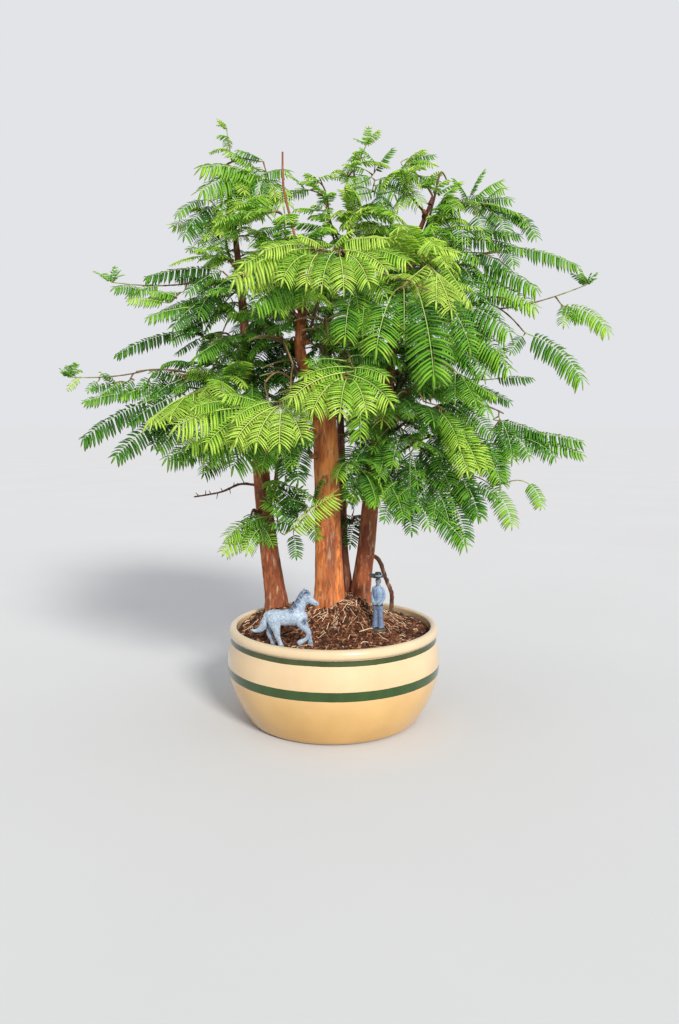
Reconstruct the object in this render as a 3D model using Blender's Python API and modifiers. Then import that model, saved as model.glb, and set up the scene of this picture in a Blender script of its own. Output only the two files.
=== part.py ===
"""Dawn redwood bonsai forest: four trunks in a banded bowl, with a toy horse and a toy man on the soil.

Helpers take millimetres and the meshes are made in metres. The origin is the centre of the bowl's
flat bottom, +Z is up, and the forest's front looks along -Y.
"""
import math
import random

import bmesh
import bpy
from mathutils import Matrix, Vector
from mathutils.bvhtree import BVHTree

MM = 0.001
GAP = 0.3
UP = Vector((0.0, 0.0, 1.0))

# Bowl: outer radii and heights of the turned profile, from the lip down to the flat bottom
BOWL_HEIGHT = 91.5
BOWL_BELLY_RADIUS = 102.6
BOWL_FOOT_RADIUS = 78.5
BOWL_FLOOR_HEIGHT = 8.0
BOWL_OUTSIDE = [(93.6, 89.9), (96.3, BOWL_HEIGHT), (99.4, 90.4), (101.0, 87.2), (100.8, 83.6),
                (98.7, 81.4), (BOWL_BELLY_RADIUS, 60.0), (101.2, 43.0), (96.0, 26.0), (85.5, 6.0),
                (BOWL_FOOT_RADIUS, 0.0)]
BOWL_INSIDE = [(82.0, BOWL_FLOOR_HEIGHT), (94.6, 40.0), (93.8, 76.0)]
TURNED_SEGMENTS = 24
DRAIN_HOLE_RADIUS = 5.0
DRAIN_HOLE_DISTANCE = 45.0

# Soil: level at the bowl's wall, and mounds of (x, y, spread x, spread y, height)
SOIL_EDGE_HEIGHT = 82.5
SOIL_MOUNDS = [(10.0, 16.0, 46.0, 42.0, 34.0), (-58.0, 28.0, 26.0, 30.0, 15.0)]
SOIL_BUMP = 0.7
SOIL_RINGS = [0.0, 22.0, 45.0, 70.0]

# Trunks: route of (x, y, z, radius); the first two points are the straight foot in the soil
FOOT_DEPTH = 16.0
TRUNKS = {
    "main": {"sides": 10, "route": [
        (-4, 10, 114, 15.2), (-4, 10, 122, 14.8), (-5, 8, 160, 13.6), (-6, 5, 216, 12.8),
        (-8, 2, 280, 12.2), (-12, 0, 306, 10.6), (-22, 0, 324, 7.0), (-31, 0, 350, 5.6),
        (-30, 1, 376, 5.2), (-28, 2, 402, 4.6), (-35, 4, 450, 2.4), (-38, 6, 466, 2.3),
        (-46, 8, 500, 2.0), (-47, 10, 533, 1.5)]},
    "left": {"sides": 8, "route": [
        (-58, 28, 101, 11.2), (-58, 28, 108, 10.8), (-63, 27, 147, 9.4), (-68, 26, 193, 8.6),
        (-71, 25, 230, 8.2), (-76, 25, 290, 6.6), (-84, 27, 350, 5.2), (-90, 30, 420, 3.6),
        (-97, 34, 480, 2.6), (-104, 38, 522, 1.7)]},
    "right": {"sides": 8, "route": [
        (27, 22, 113, 10.4), (27, 22, 120, 10.0), (32, 18, 160, 9.0), (36, 14, 208, 8.4),
        (41, 12, 253, 7.6), (48, 10, 295, 6.4), (55, 9, 345, 5.0), (66, 12, 410, 3.6),
        (78, 15, 455, 2.6), (91, 17, 488, 1.7)]},
    "rear": {"sides": 6, "route": [
        (14, 30, 115, 4.4), (14, 30, 122, 4.3), (10, 31, 165, 4.0), (8, 33, 240, 3.8),
        (5, 36, 305, 3.6), (-7, 40, 361, 3.2), (-1, 42, 404, 2.8), (14, 42, 464, 2.1),
        (13, 40, 505, 1.6)]},
}

# A crooked bare root that arches from the right trunk back into the soil
ROOT_ROUTE = [(33, 17, 156), (44, 19, 150), (52, 22, 130), (58, 26, 114), (58, 28, 100), (58, 28, 86)]
ROOT_RADIUS = 2.2

# Bare wood fused to a trunk: route points (x, y, z) with a start and an end radius
BARE_WOOD = {
    "main": [([(-30, 1, 378), (-42, -3, 392), (-52, -6, 407)], 3.6, 2.4)],
    "left": [([(-71, 25, 222), (-92, 28, 224), (-112, 30, 216), (-139, 30, 211)], 1.5, 0.8),
             ([(-68, 26, 196), (-58, 22, 222), (-55, 20, 246)], 3.0, 1.8)],
    "right": [([(44, 11, 268), (58, 4, 283), (71, -2, 312)], 2.6, 1.6),
              (ROOT_ROUTE, ROOT_RADIUS, ROOT_RADIUS)],
    "rear": [],
}
# Leafy shoots: the height where each leaves its trunk, the tip of its end frond, how far it arches,
# how steeply its fronds hang at their tips (degrees), and the length of a frond
SHOOTS = {
    "left": [
        (302, (-250, 0, 326), 12, 20, 44), (286, (-232, -25, 268), 20, 50, 54),
        (268, (-194, -55, 254), 14, 50, 54), (382, (-210, 5, 404), 8, 25, 50),
        (338, (-220, 40, 350), 16, 30, 44), (432, (-152, 0, 470), 10, 30, 46),
        (462, (-134, 20, 506), 10, 30, 46), (522, (-107, 40, 568), 0, 10, 38),
        (278, (-152, -92, 284), 18, 40, 60), (250, (-118, -42, 240), 8, 60, 46),
        (196, (-98, -18, 170), 8, 55, 50), (206, (-12, -24, 208), 4, 40, 46),
        (350, (-165, 105, 340), 18, 40, 54), (412, (-112, 112, 420), 16, 45, 52),
        (300, (-110, 118, 268), 16, 50, 54)],
    "main": [
        (288, (-114, -122, 280), 22, 45, 66), (298, (-54, -140, 282), 34, 60, 66),
        (308, (4, -142, 302), 40, 65, 66), (318, (46, -104, 296), 14, 60, 70),
        (388, (-76, -108, 388), 26, 35, 62), (376, (10, -120, 404), 30, 40, 62),
        (399, (-110, -42, 454), 14, 35, 52), (252, (-70, -46, 240), 16, 55, 52),
        (358, (68, -136, 318), 60, 80, 80), (326, (-120, -58, 340), 20, 40, 60)],
    "right": [
        (330, (244, -5, 330), 34, 55, 60), (388, (236, 20, 432), 10, 25, 50),
        (272, (232, -20, 270), 20, 35, 54), (246, (180, -40, 230), 14, 50, 52),
        (226, (116, -70, 180), 20, 65, 56), (352, (190, -42, 362), 14, 35, 54),
        (455, (172, 20, 508), 14, 10, 48), (430, (186, -2, 470), 14, 30, 50),
        (262, (108, -120, 248), 26, 65, 64), (312, (142, -96, 304), 24, 45, 60),
        (236, (62, -64, 200), 14, 60, 50), (488, (104, 20, 540), 0, 20, 36),
        (300, (150, 112, 300), 20, 45, 56), (392, (130, 118, 408), 16, 40, 54),
        (372, (98, -122, 388), 30, 45, 62), (476, (66, -52, 500), 10, 30, 48)],
    "rear": [
        (505, (30, 30, 556), 0, 10, 36),
        (352, (10, 148, 352), 20, 45, 58), (420, (56, 128, 452), 16, 35, 54),
        (310, (-48, 128, 300), 18, 50, 56), (470, (62, 10, 520), 8, 30, 44),
        (186, (40, 34, 176), 4, 55, 36), (398, (-62, -8, 452), 14, 30, 50),
        (430, (60, -36, 462), 16, 35, 50), (446, (-66, -22, 494), 8, 30, 48),
        (456, (-84, 66, 500), 8, 25, 46)],
}
# Twigs: radii from the trunk to the tip, and side twigs of (share along, side, length share)
STUB_LENGTH = 5.0
STUB_RADIUS = 2.2
TWIG_SIDES = 4
TWIG_RADIUS = (1.9, 1.0)
TWIG_LIFT = 0.25
TWIG_SLOPES = (0.1, 1.1)
SIDE_TWIG_SPAN = 95.0
SIDE_TWIG_RADIUS = (1.4, 0.9)
SIDE_TWIGS = ((0.36, 1, 0.42), (0.62, -1, 0.34))
SIDE_TWIG_SPREAD = 46.0
SIDE_TWIG_PITCH = 16.0
SIDE_TWIG_SAG = 0.4
SIDE_TWIG_FREE = 0.12
SIDE_KNOTS = [0.0, 0.5, 1.0]
BARE_SHARE = 0.3
PAIR_SPACING = 54.0
PAIR_PLACE = 0.35

# Fronds: angles in degrees; widths of a full and of a slim frond, as shares of its length
FROND_SPREAD = 58.0
FROND_WIDTH = (0.31, 0.23)
FROND_ROLL = 14.0
FROND_RIB = (1.6, 1.2)
FROND_ROOT = 0.6
PETIOLE_SHARE = 0.08
RIB_END_SHARE = 0.97
RIB_TAPER = 0.35
SWELL_START = 0.22
SWELL_SKEW = 0.8
SWELL_FULLNESS = 0.7
TIP_WIDTH_SHARE = 0.25
LEAFLET_PITCH = 16.0
FEWEST_PAIRS = 3
LEAFLET_SLANT = (0.35, 0.5)
LEAFLET_DROOP = (0.2, 0.5)
FROND_RISE = (-6.0, 18.0)
FROND_FOLLOW = 0.6
FROND_SAG = 22.0
FROND_SHORTENING = 0.3
FROND_LENGTHS = (0.88, 1.1)
END_FROND_SHARE = 1.45
END_FROND_MOST = 0.6
END_FROND_ANGLE = 18.0
SIDE_END_SHARE = 1.1
SIDE_FROND_SHARE = 0.85
LEADER_ANGLES = (74.0, 30.0)
LEADER_TURNS = (55.0, 180.0, 85.0)
LEADER_PITCH = 42.0
SCATTER = 9.0

# What keeps the shoots clear of each other: a margin, and the changes tried until one is clear
CLEARANCE = 1.0
STEM_MARGIN = 1.2
SHEET_STATIONS = 5
SHEET_SLANT = (0.3, 0.4)
FREE_START = 14.0
TILTS = (0, 14, -14, 28, -28, 42, -42)
SHIFTS = (0, 8, -8, 16, -16, 26, -26, 36, -36)
SHIFT_LIFT = 0.4
CLIMBS = (0, 7, -7, 14, -14, 21, -21)

# Toy horse: limbs as route points (x, y, z) with radii; it walks towards +X, a forefoot raised
BODY_SIDES = 6
LIMB_SIDES = 4
HORSE_MIDDLE = -57.0
HORSE_HALF_TRACK = 3.4
HORSE_BODY = [((-60.0, 0, 110.0), 4.6), ((-54.0, 0, 110.6), 7.6), ((-43.5, 0, 110.2), 7.8),
              ((-31.5, 0, 111.6), 8.2), ((-27.5, 0, 112.8), 4.8)]
HORSE_NECK = [((-34.0, 0, 113.0), 6.6), ((-29.6, 0, 122.0), 5.0), ((-27.0, 0, 131.8), 3.6)]
HORSE_HEAD = [((-28.6, 0, 131.6), 3.4), ((-23.0, 0, 128.8), 3.6), ((-14.8, 0, 123.6), 2.1)]
HORSE_TAIL = [((-58.5, 0, 113.6), 1.6), ((-64.6, 0, 104.0), 2.5), ((-73.6, 0, 98.6), 0.8)]
HORSE_EAR = [((-27.6, 1.5, 132.8), 1.5), ((-27.0, 2.0, 137.2), 0.3)]
HORSE_LEGS = {
    "near hind": [((-54.5, -1, 107.5), 5.4), ((-51.8, -1, 95.6), 2.3), ((-46.9, -1, 87.0), 1.9),
                  ((-46.4, -1, 85.4), 2.3), ((-46.4, -1, 82.0), 2.3)],
    "far hind": [((-54.5, 1, 107.5), 5.4), ((-58.4, 1, 95.6), 2.3), ((-55.0, 1, 87.0), 1.9),
                 ((-54.6, 1, 85.4), 2.3), ((-54.6, 1, 82.0), 2.3)],
    "far fore": [((-29.5, 1, 108.6), 4.6), ((-23.0, 1, 96.4), 2.4), ((-21.2, 1, 86.6), 1.8),
                 ((-21.0, 1, 85.0), 2.3), ((-21.0, 1, 81.0), 2.3)],
    "near fore": [((-29.5, -1, 108.6), 4.6), ((-21.0, -1, 98.6), 2.6), ((-27.4, -1, 90.4), 1.8),
                  ((-30.4, -1, 90.2), 2.1)],
}
STANDING_LEGS = ("near hind", "far hind", "far fore")
HOOF_RADIUS = 2.3

# Toy man: he stands on a small round base, hands at his belt, under a hat with a wide brim
MAN_PLACE = (42.0, -24.0)
MAN_BASE = (7.2, 88.2, 92.0)
MAN_SIDES = 8
MAN_BODY = [((0, 0, 112.5), 4.9), ((0, 0, 117.0), 4.3), ((0, 0, 129.8), 5.3), ((0, 0, 132.6), 3.2)]
MAN_HEAD = [((0, -0.2, 131.0), 2.0), ((0, -0.3, 136.4), 3.2), ((0, -0.3, 141.2), 2.9)]
MAN_LEG = [((2.2, 0, 114.5), 3.2), ((2.6, 0, 103.0), 3.1), ((2.9, -0.3, 91.0), 3.6)]
MAN_ARM = [((4.4, 0, 130.4), 2.0), ((6.8, 0.4, 123.0), 1.8), ((3.4, -3.4, 116.0), 1.5)]
MAN_HAT = [(0.0, 145.4), (3.4, 145.0), (3.8, 142.0), (8.4, 141.4), (8.2, 140.4), (0.0, 140.4)]

COLOURS = {
    "bowl": ((0.86, 0.68, 0.42), 0.18), "soil": ((0.055, 0.03, 0.018), 0.95),
    "bark": ((0.30, 0.12, 0.05), 0.85), "foliage": ((0.16, 0.42, 0.05), 0.6),
    "horse": ((0.36, 0.48, 0.62), 0.6), "man": ((0.30, 0.42, 0.60), 0.6),
}


def material(name):
    """One Principled material for each kind of surface, made on first use."""
    found = bpy.data.materials.get(name)
    if found:
        return found
    made = bpy.data.materials.new(name)
    made.use_nodes = True
    colour, roughness = COLOURS[name]
    shader = made.node_tree.nodes["Principled BSDF"]
    shader.inputs["Base Color"].default_value = (*colour, 1.0)
    shader.inputs["Roughness"].default_value = roughness
    shader.inputs["Metallic"].default_value = 0.0
    made.diffuse_color = (*colour, 1.0)
    return made


def new_collection(name):
    made = bpy.data.collections.new(name)
    bpy.context.scene.collection.children.link(made)
    return made


def to_mesh(obj, weld):
    """Replaces an object by its evaluated mesh, with loose caps welded where asked."""
    graph = bpy.context.evaluated_depsgraph_get()
    mesh = bpy.data.meshes.new_from_object(obj.evaluated_get(graph))
    if weld:
        work = bmesh.new()
        work.from_mesh(mesh)
        bmesh.ops.remove_doubles(work, verts=work.verts, dist=0.00001)
        bmesh.ops.recalc_face_normals(work, faces=work.faces)
        work.to_mesh(mesh)
        work.free()
    made = bpy.data.objects.new(obj.name, mesh)
    made.matrix_world = obj.matrix_world
    for collection in obj.users_collection:
        collection.objects.link(made)
    name = obj.name
    bpy.data.objects.remove(obj)
    made.name = name
    return made


def mesh_object(name, collection, verts, faces):
    """An object from points in millimetres and faces."""
    mesh = bpy.data.meshes.new(name)
    mesh.from_pydata([Vector(v) * MM for v in verts], [], faces)
    made = bpy.data.objects.new(name, mesh)
    collection.objects.link(made)
    return made


def tube(name, collection, points, radii, sides):
    """A round stem through the points, as a bevelled curve with filled caps, made a mesh."""
    curve = bpy.data.curves.new(name, "CURVE")
    curve.dimensions = "3D"
    curve.bevel_depth = MM
    curve.bevel_resolution = (sides - 4) // 2
    curve.use_fill_caps = True
    spline = curve.splines.new("POLY")
    spline.points.add(len(points) - 1)
    for spot, point, radius in zip(spline.points, points, radii):
        spot.co = (*(Vector(point) * MM), 1.0)
        spot.radius = radius
    made = bpy.data.objects.new(name, curve)
    collection.objects.link(made)
    bpy.context.view_layer.update()
    return to_mesh(made, True)


def combine(target, others, operation="UNION"):
    """Joins the other objects into the target, or cuts them from it, with one Boolean."""
    group = new_collection("group_" + target.name)
    for other in others:
        for collection in other.users_collection:
            collection.objects.unlink(other)
        group.objects.link(other)
        other.hide_render = True
        other.display_type = "WIRE"
    step = target.modifiers.new("combine", "BOOLEAN")
    step.operation = operation
    step.operand_type = "COLLECTION"
    step.collection = group
    step.solver = "MANIFOLD"
    bpy.context.view_layer.update()
    made = to_mesh(target, False)
    for other in others:
        bpy.data.objects.remove(other)
    bpy.data.collections.remove(group)
    return made


def foot_of(obj, x, y, radius, sides):
    """What the soil's hole needs to know of a straight foot: its place, bottom, size and facets."""
    spots = [vertex.co / MM for vertex in obj.data.vertices]
    near = [spot for spot in spots if math.hypot(spot.x - x, spot.y - y) < radius * 1.01]
    bottom = min(spot.z for spot in near)
    corner = max((spot for spot in near if spot.z < bottom + 0.01),
                 key=lambda spot: math.hypot(spot.x - x, spot.y - y))
    return x, y, bottom, radius, sides, math.atan2(corner.y - y, corner.x - x)


def soil_height(x, y):
    """Height of the soil's surface above the bowl's bottom."""
    height = SOIL_EDGE_HEIGHT
    for cx, cy, sx, sy, rise in SOIL_MOUNDS:
        height += rise * math.exp(-((x - cx) / sx) ** 2 - ((y - cy) / sy) ** 2)
    return height + SOIL_BUMP * math.sin(x * 0.16 + 1.0) * math.cos(y * 0.19)


def turned(name, collection, profile, segments):
    """A turned shape from an open profile of (radius, height) that starts and ends on the axis."""
    work = bmesh.new()
    spots = [work.verts.new((r * MM, 0.0, z * MM)) for r, z in profile]
    for a, b in zip(spots, spots[1:]):
        work.edges.new((a, b))
    mesh = bpy.data.meshes.new(name)
    work.to_mesh(mesh)
    work.free()
    made = bpy.data.objects.new(name, mesh)
    collection.objects.link(made)
    screw = made.modifiers.new("screw", "SCREW")
    screw.steps = segments
    screw.render_steps = segments
    screw.use_merge_vertices = True
    screw.merge_threshold = 0.00001
    bpy.context.view_layer.update()
    return to_mesh(made, True)


def round_cutter(collection, x, y, radius, low, high, sides, turn=0.0):
    """A standing prism that cuts a plain hole, with its first corner at the angle of turn."""
    work = bmesh.new()
    bmesh.ops.create_cone(work, cap_ends=True, segments=sides, radius1=radius * MM, radius2=radius * MM,
                          depth=(high - low) * MM)
    now = math.atan2(work.verts[:][0].co.y, work.verts[:][0].co.x)
    bmesh.ops.rotate(work, verts=work.verts, matrix=Matrix.Rotation(turn - now, 3, "Z"))
    bmesh.ops.translate(work, verts=work.verts, vec=Vector((x, y, (low + high) / 2)) * MM)
    mesh = bpy.data.meshes.new("cutter")
    work.to_mesh(mesh)
    work.free()
    made = bpy.data.objects.new("cutter", mesh)
    collection.objects.link(made)
    return made


def make_bowl(parts, cutters):
    profile = [(0.0, BOWL_FLOOR_HEIGHT)] + BOWL_INSIDE + BOWL_OUTSIDE + [(0.0, 0.0)]
    bowl = turned("bowl", parts, profile, TURNED_SEGMENTS)
    holes = []
    for turn in range(3):
        angle = math.radians(90 + 120 * turn)
        x = DRAIN_HOLE_DISTANCE * math.cos(angle)
        y = DRAIN_HOLE_DISTANCE * math.sin(angle)
        holes.append(round_cutter(cutters, x, y, DRAIN_HOLE_RADIUS, -2, BOWL_FLOOR_HEIGHT + 2, 8))
    bowl = combine(bowl, holes, "DIFFERENCE")
    finish(bowl, "bowl")


def make_soil(parts, cutters, feet):
    """The soil fills the bowl and is cut by plain holes for all that stands in it."""
    side = [(r - GAP, z) for r, z in reversed(BOWL_INSIDE)]
    side[-1] = (side[-1][0] - GAP, BOWL_FLOOR_HEIGHT + GAP)
    top_radius = side[0][0]
    top = [(r, SOIL_EDGE_HEIGHT) for r in SOIL_RINGS] + [(top_radius - 2.0, SOIL_EDGE_HEIGHT)]
    profile = top + side + [(0.0, BOWL_FLOOR_HEIGHT + GAP)]
    soil = turned("soil", parts, profile, TURNED_SEGMENTS)
    for vertex in soil.data.vertices:
        if vertex.co.z > (SOIL_EDGE_HEIGHT - 1) * MM:
            vertex.co.z = soil_height(vertex.co.x / MM, vertex.co.y / MM) * MM
    holes = []
    for x, y, bottom, radius, sides, turn in feet:
        wide = radius + GAP / math.cos(math.pi / sides)
        holes.append(round_cutter(cutters, x, y, wide, bottom - GAP, BOWL_HEIGHT + 40, sides, turn))
    soil = combine(soil, holes, "DIFFERENCE")
    finish(soil, "soil")


def finish(obj, surface):
    obj.data.materials.clear()
    obj.data.materials.append(material(surface))
    obj.data.shade_smooth()
    obj.data.set_sharp_from_angle(angle=math.radians(35))


def limb(collection, spots, place, sides, mirror=1):
    """A tapered round limb through ((x, y, z), radius) spots, moved to a place."""
    points = [Vector((x, y * mirror, z)) + place for (x, y, z), _ in spots]
    return tube("limb", collection, points, [radius for _, radius in spots], sides)


def make_horse(parts, work):
    """The toy horse; gives the straight ends of its hooves, which stand in the soil."""
    middle = Vector((0.0, HORSE_MIDDLE, 0.0))
    horse = limb(parts, HORSE_BODY, middle, BODY_SIDES)
    horse.name = "horse"
    pieces = [limb(work, spots, middle, BODY_SIDES) for spots in (HORSE_NECK, HORSE_HEAD)]
    pieces += [limb(work, HORSE_EAR, middle, LIMB_SIDES, side) for side in (-1, 1)]
    pieces.append(limb(work, HORSE_TAIL, middle, LIMB_SIDES))
    places = []
    for name, spots in HORSE_LEGS.items():
        spots = [((x, y * HORSE_HALF_TRACK, z), radius) for (x, y, z), radius in spots]
        pieces.append(limb(work, spots, middle, LIMB_SIDES))
        if name in STANDING_LEGS:
            places.append((spots[-1][0][0], spots[-1][0][1] + HORSE_MIDDLE))
    horse = combine(horse, pieces)
    finish(horse, "horse")
    return [foot_of(horse, x, y, HOOF_RADIUS, LIMB_SIDES) for x, y in places]


def make_man(parts, work):
    """The toy man; gives the size of the base that he stands on."""
    place = Vector((*MAN_PLACE, 0.0))
    man = limb(parts, MAN_BODY, place, BODY_SIDES)
    man.name = "man"
    width, low, high = MAN_BASE
    pieces = [limb(work, MAN_HEAD, place, BODY_SIDES),
              round_cutter(work, *MAN_PLACE, width, low, high, MAN_SIDES)]
    for side in (-1, 1):
        for spots, sides in ((MAN_LEG, BODY_SIDES), (MAN_ARM, LIMB_SIDES)):
            spots = [((x * side, y, z), radius) for (x, y, z), radius in spots]
            pieces.append(limb(work, spots, place, sides))
    hat = turned("hat", work, MAN_HAT, MAN_SIDES)
    hat.location = place * MM
    pieces.append(hat)
    man = combine(man, pieces)
    finish(man, "man")
    return [foot_of(man, *MAN_PLACE, width, MAN_SIDES)]


def trunk_curve(name):
    """The trunk's route of (x, y, z, radius), from the top of its foot upwards."""
    return [Vector(p) for p in TRUNKS[name]["route"][1:]]


def trunk_at(curve, height):
    """The centre and radius of a trunk at a height."""
    for low, high in zip(curve, curve[1:]):
        if low[2] <= height <= high[2]:
            share = (height - low[2]) / (high[2] - low[2])
            spot = low.lerp(high, share)
            return Vector(spot[:3]), spot[3]
    return Vector(curve[-1][:3]), curve[-1][3]


def arc_frame(frond, share):
    """Place, direction, side and face normal on a frond's rib, an arc in an upright plane."""
    bend = frond["bend"]
    pitch = frond["pitch"]
    length = frond["length"]
    here = pitch - bend * share
    out = length * (math.sin(pitch) - math.sin(here)) / bend
    rise = length * (math.cos(here) - math.cos(pitch)) / bend
    flat = Vector((math.cos(frond["heading"]), math.sin(frond["heading"]), 0.0))
    along = flat * math.cos(here) + UP * math.sin(here)
    level = Vector((math.sin(frond["heading"]), -math.cos(frond["heading"]), 0.0))
    normal = level.cross(along)
    side = level * math.cos(frond["roll"]) + normal * math.sin(frond["roll"])
    normal = side.cross(along)
    return frond["base"] + flat * out + UP * rise, along, side, normal


def half_width(frond, share):
    """Reach of the leaflets to each side, widest a third of the way along."""
    place = min(1.0, SWELL_START + (1 - SWELL_START) * share)
    swell = math.sin(math.pi * place ** SWELL_SKEW) ** SWELL_FULLNESS
    return frond["width"] * max(TIP_WIDTH_SHARE, swell)


def frond_solid(frond):
    """Points and faces of a closed frond: a rib of three-cornered section with a pointed leaflet
    from every stretch of it to each side."""
    pairs = max(FEWEST_PAIRS, round(frond["length"] * (1 - PETIOLE_SHARE) / LEAFLET_PITCH))
    verts = []
    faces = []

    def section(share, scale):
        place, _, side, normal = arc_frame(frond, share)
        wide = FROND_RIB[0] * scale / 2
        high = FROND_RIB[1] * scale / 2
        first = len(verts)
        verts.extend([place + normal * high, place + side * wide - normal * high,
                      place - side * wide - normal * high])
        return first

    def point(share, sideways, ahead):
        place, along, side, normal = arc_frame(frond, share)
        dip = frond["droop"] * abs(sideways)
        verts.append(place + side * sideways + along * ahead - normal * dip)
        return len(verts) - 1

    root = point(0.0, 0.0, -FROND_ROOT)
    last = section(PETIOLE_SHARE, 1.0)
    faces += [(root, last + 1, last), (root, last + 2, last + 1), (root, last, last + 2)]
    for pair in range(pairs):
        start = PETIOLE_SHARE + (RIB_END_SHARE - PETIOLE_SHARE) * pair / pairs
        end = PETIOLE_SHARE + (RIB_END_SHARE - PETIOLE_SHARE) * (pair + 1) / pairs
        reach = half_width(frond, (start + end) / 2)
        ahead = reach * (LEAFLET_SLANT[0] + LEAFLET_SLANT[1] * end)
        following = section(end, 1.0 - RIB_TAPER * end)
        right = point(start, reach, ahead)
        left = point(start, -reach, ahead)
        faces += [(last, last + 1, right), (following, right, following + 1),
                  (last, right, following), (last + 1, following + 1, right)]
        faces += [(last, left, last + 2), (following, following + 2, left),
                  (last, following, left), (last + 2, left, following + 2)]
        faces += [(last + 1, last + 2, following + 2), (last + 1, following + 2, following + 1)]
        last = following
    tip = point(1.0, 0.0, 0.0)
    faces += [(last, last + 1, tip), (last + 1, last + 2, tip), (last + 2, last, tip)]
    return verts, faces


def sheet_solid(frond):
    """A plain thin box round a frond's blade, a little larger all round, to test that it is clear."""
    verts = []
    faces = []
    spans = SHEET_STATIONS - 1
    for step in range(SHEET_STATIONS):
        share = PETIOLE_SHARE + (1.0 - PETIOLE_SHARE) * step / spans
        place, along, side, normal = arc_frame(frond, share)
        reach = half_width(frond, share) + CLEARANCE
        ahead = along * (reach * (SHEET_SLANT[0] + SHEET_SLANT[1] * share))
        for sideways in (-1, 0, 1):
            dip = frond["droop"] * reach * abs(sideways)
            spot = place + side * (reach * sideways) - normal * dip + ahead * abs(sideways)
            verts.append(spot + normal * CLEARANCE)
            verts.append(spot - normal * CLEARANCE)
    for step in range(spans):
        a = step * 6
        b = a + 6
        for k in (0, 2):
            faces += [(a + k, a + k + 2, b + k + 2, b + k), (a + k + 1, b + k + 1, b + k + 3, a + k + 3)]
        faces += [(a, b, b + 1, a + 1), (a + 4, a + 5, b + 5, b + 4)]
    end = spans * 6
    faces += [(0, 1, 3, 2), (2, 3, 5, 4), (end, end + 2, end + 3, end + 1),
              (end + 2, end + 4, end + 5, end + 3)]
    return BVHTree.FromPolygons(verts, faces)


def stem_tree(points, radii):
    """A search tree of a square stem, a little thicker than the real one."""
    verts = []
    faces = []
    for i, (spot, radius) in enumerate(zip(points, radii)):
        ahead = points[min(i + 1, len(points) - 1)] - points[max(i - 1, 0)]
        side = ahead.cross(UP if abs(ahead.normalized().z) < 0.9 else Vector((1, 0, 0))).normalized()
        over = side.cross(ahead).normalized()
        reach = (radius + CLEARANCE) * STEM_MARGIN
        verts += [spot + side * reach, spot + over * reach, spot - side * reach, spot - over * reach]
    for i in range(len(points) - 1):
        a = i * 4
        for k in range(4):
            faces.append((a + k, a + (k + 1) % 4, a + 4 + (k + 1) % 4, a + 4 + k))
    return BVHTree.FromPolygons(verts, faces)


def is_clear(tree, others):
    return not any(tree.overlap(other) for other in others)


def on_twig(twig, share):
    """A place on a twig, which is the four control points of a Bezier curve."""
    a, b, c, d = twig
    rest = 1 - share
    return a * rest ** 3 + b * (3 * rest * rest * share) + c * (3 * rest * share * share) + d * share ** 3


def twig_heading(twig, share):
    low = max(0.0, share - 0.03)
    return (on_twig(twig, low + 0.03) - on_twig(twig, low)).normalized()


def twig_length(twig):
    spots = [on_twig(twig, i / 8) for i in range(9)]
    return sum((b - a).length for a, b in zip(spots, spots[1:]))


def pair_shares(twig, first, spacing):
    """Where a twig's pairs of fronds stand."""
    pairs = max(1, round(twig_length(twig) * (1 - first) / spacing))
    return [first + (1 - first) * (pair + PAIR_PLACE) / pairs for pair in range(pairs)]


def twig_knots(twig):
    """The shares of a twig where its stem has a ring; between them the stem is straight."""
    bends = 3 if twig_length(twig) < SIDE_TWIG_SPAN else 4
    return [bend / bends for bend in range(bends + 1)]


def on_stem(twig, knots, share):
    """A place on the middle line of a twig's stem, where something can grow from it."""
    low, high = next((a, b) for a, b in zip(knots, knots[1:]) if share <= b)
    return on_twig(twig, low).lerp(on_twig(twig, high), (share - low) / (high - low))


def new_frond(base, heading, pitch, bend, length, slim, dice):
    """A frond's facts, with angles in radians; a slim one has shorter leaflets."""
    return {"base": base, "heading": heading, "pitch": pitch, "bend": max(bend, 0.05), "length": length,
            "width": length * FROND_WIDTH[slim], "roll": math.radians(dice.uniform(-FROND_ROLL, FROND_ROLL)),
            "droop": dice.uniform(*LEAFLET_DROOP)}


def place_fronds(wanted, fronds, others):
    """Tilts each frond until it is clear of what grew before it, and leaves out one that never is."""
    for frond in wanted:
        for tilt in TILTS:
            trial = dict(frond)
            trial["pitch"] = frond["pitch"] + math.radians(tilt)
            tree = sheet_solid(trial)
            if is_clear(tree, others):
                others.append(tree)
                fronds.append(trial)
                break


def side_fronds(twig, knots, shares, hang, size, upright, dice):
    """Pairs of fronds along a twig, shorter towards its end, listed from its end."""
    made = []
    for pair, share in enumerate(shares):
        ahead = twig_heading(twig, share)
        for side in (-1, 1):
            if upright:
                first, across, step = LEADER_TURNS
                turn = first + across * (side > 0) + step * pair
                turn = math.radians(turn + dice.uniform(-SCATTER, SCATTER))
                pitch = math.radians(LEADER_PITCH + dice.uniform(-SCATTER, SCATTER))
            else:
                spread = math.radians(FROND_SPREAD + dice.uniform(-SCATTER, SCATTER))
                turn = math.atan2(ahead.y, ahead.x) + side * spread
                pitch = math.asin(ahead.z) * FROND_FOLLOW + math.radians(dice.uniform(*FROND_RISE))
            bend = math.radians(hang + dice.uniform(0, FROND_SAG)) + pitch
            length = size * (1.0 - FROND_SHORTENING * share) * dice.uniform(*FROND_LENGTHS)
            made.append(new_frond(on_stem(twig, knots, share), turn, pitch, bend, length, False, dice))
    return made[::-1]


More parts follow.
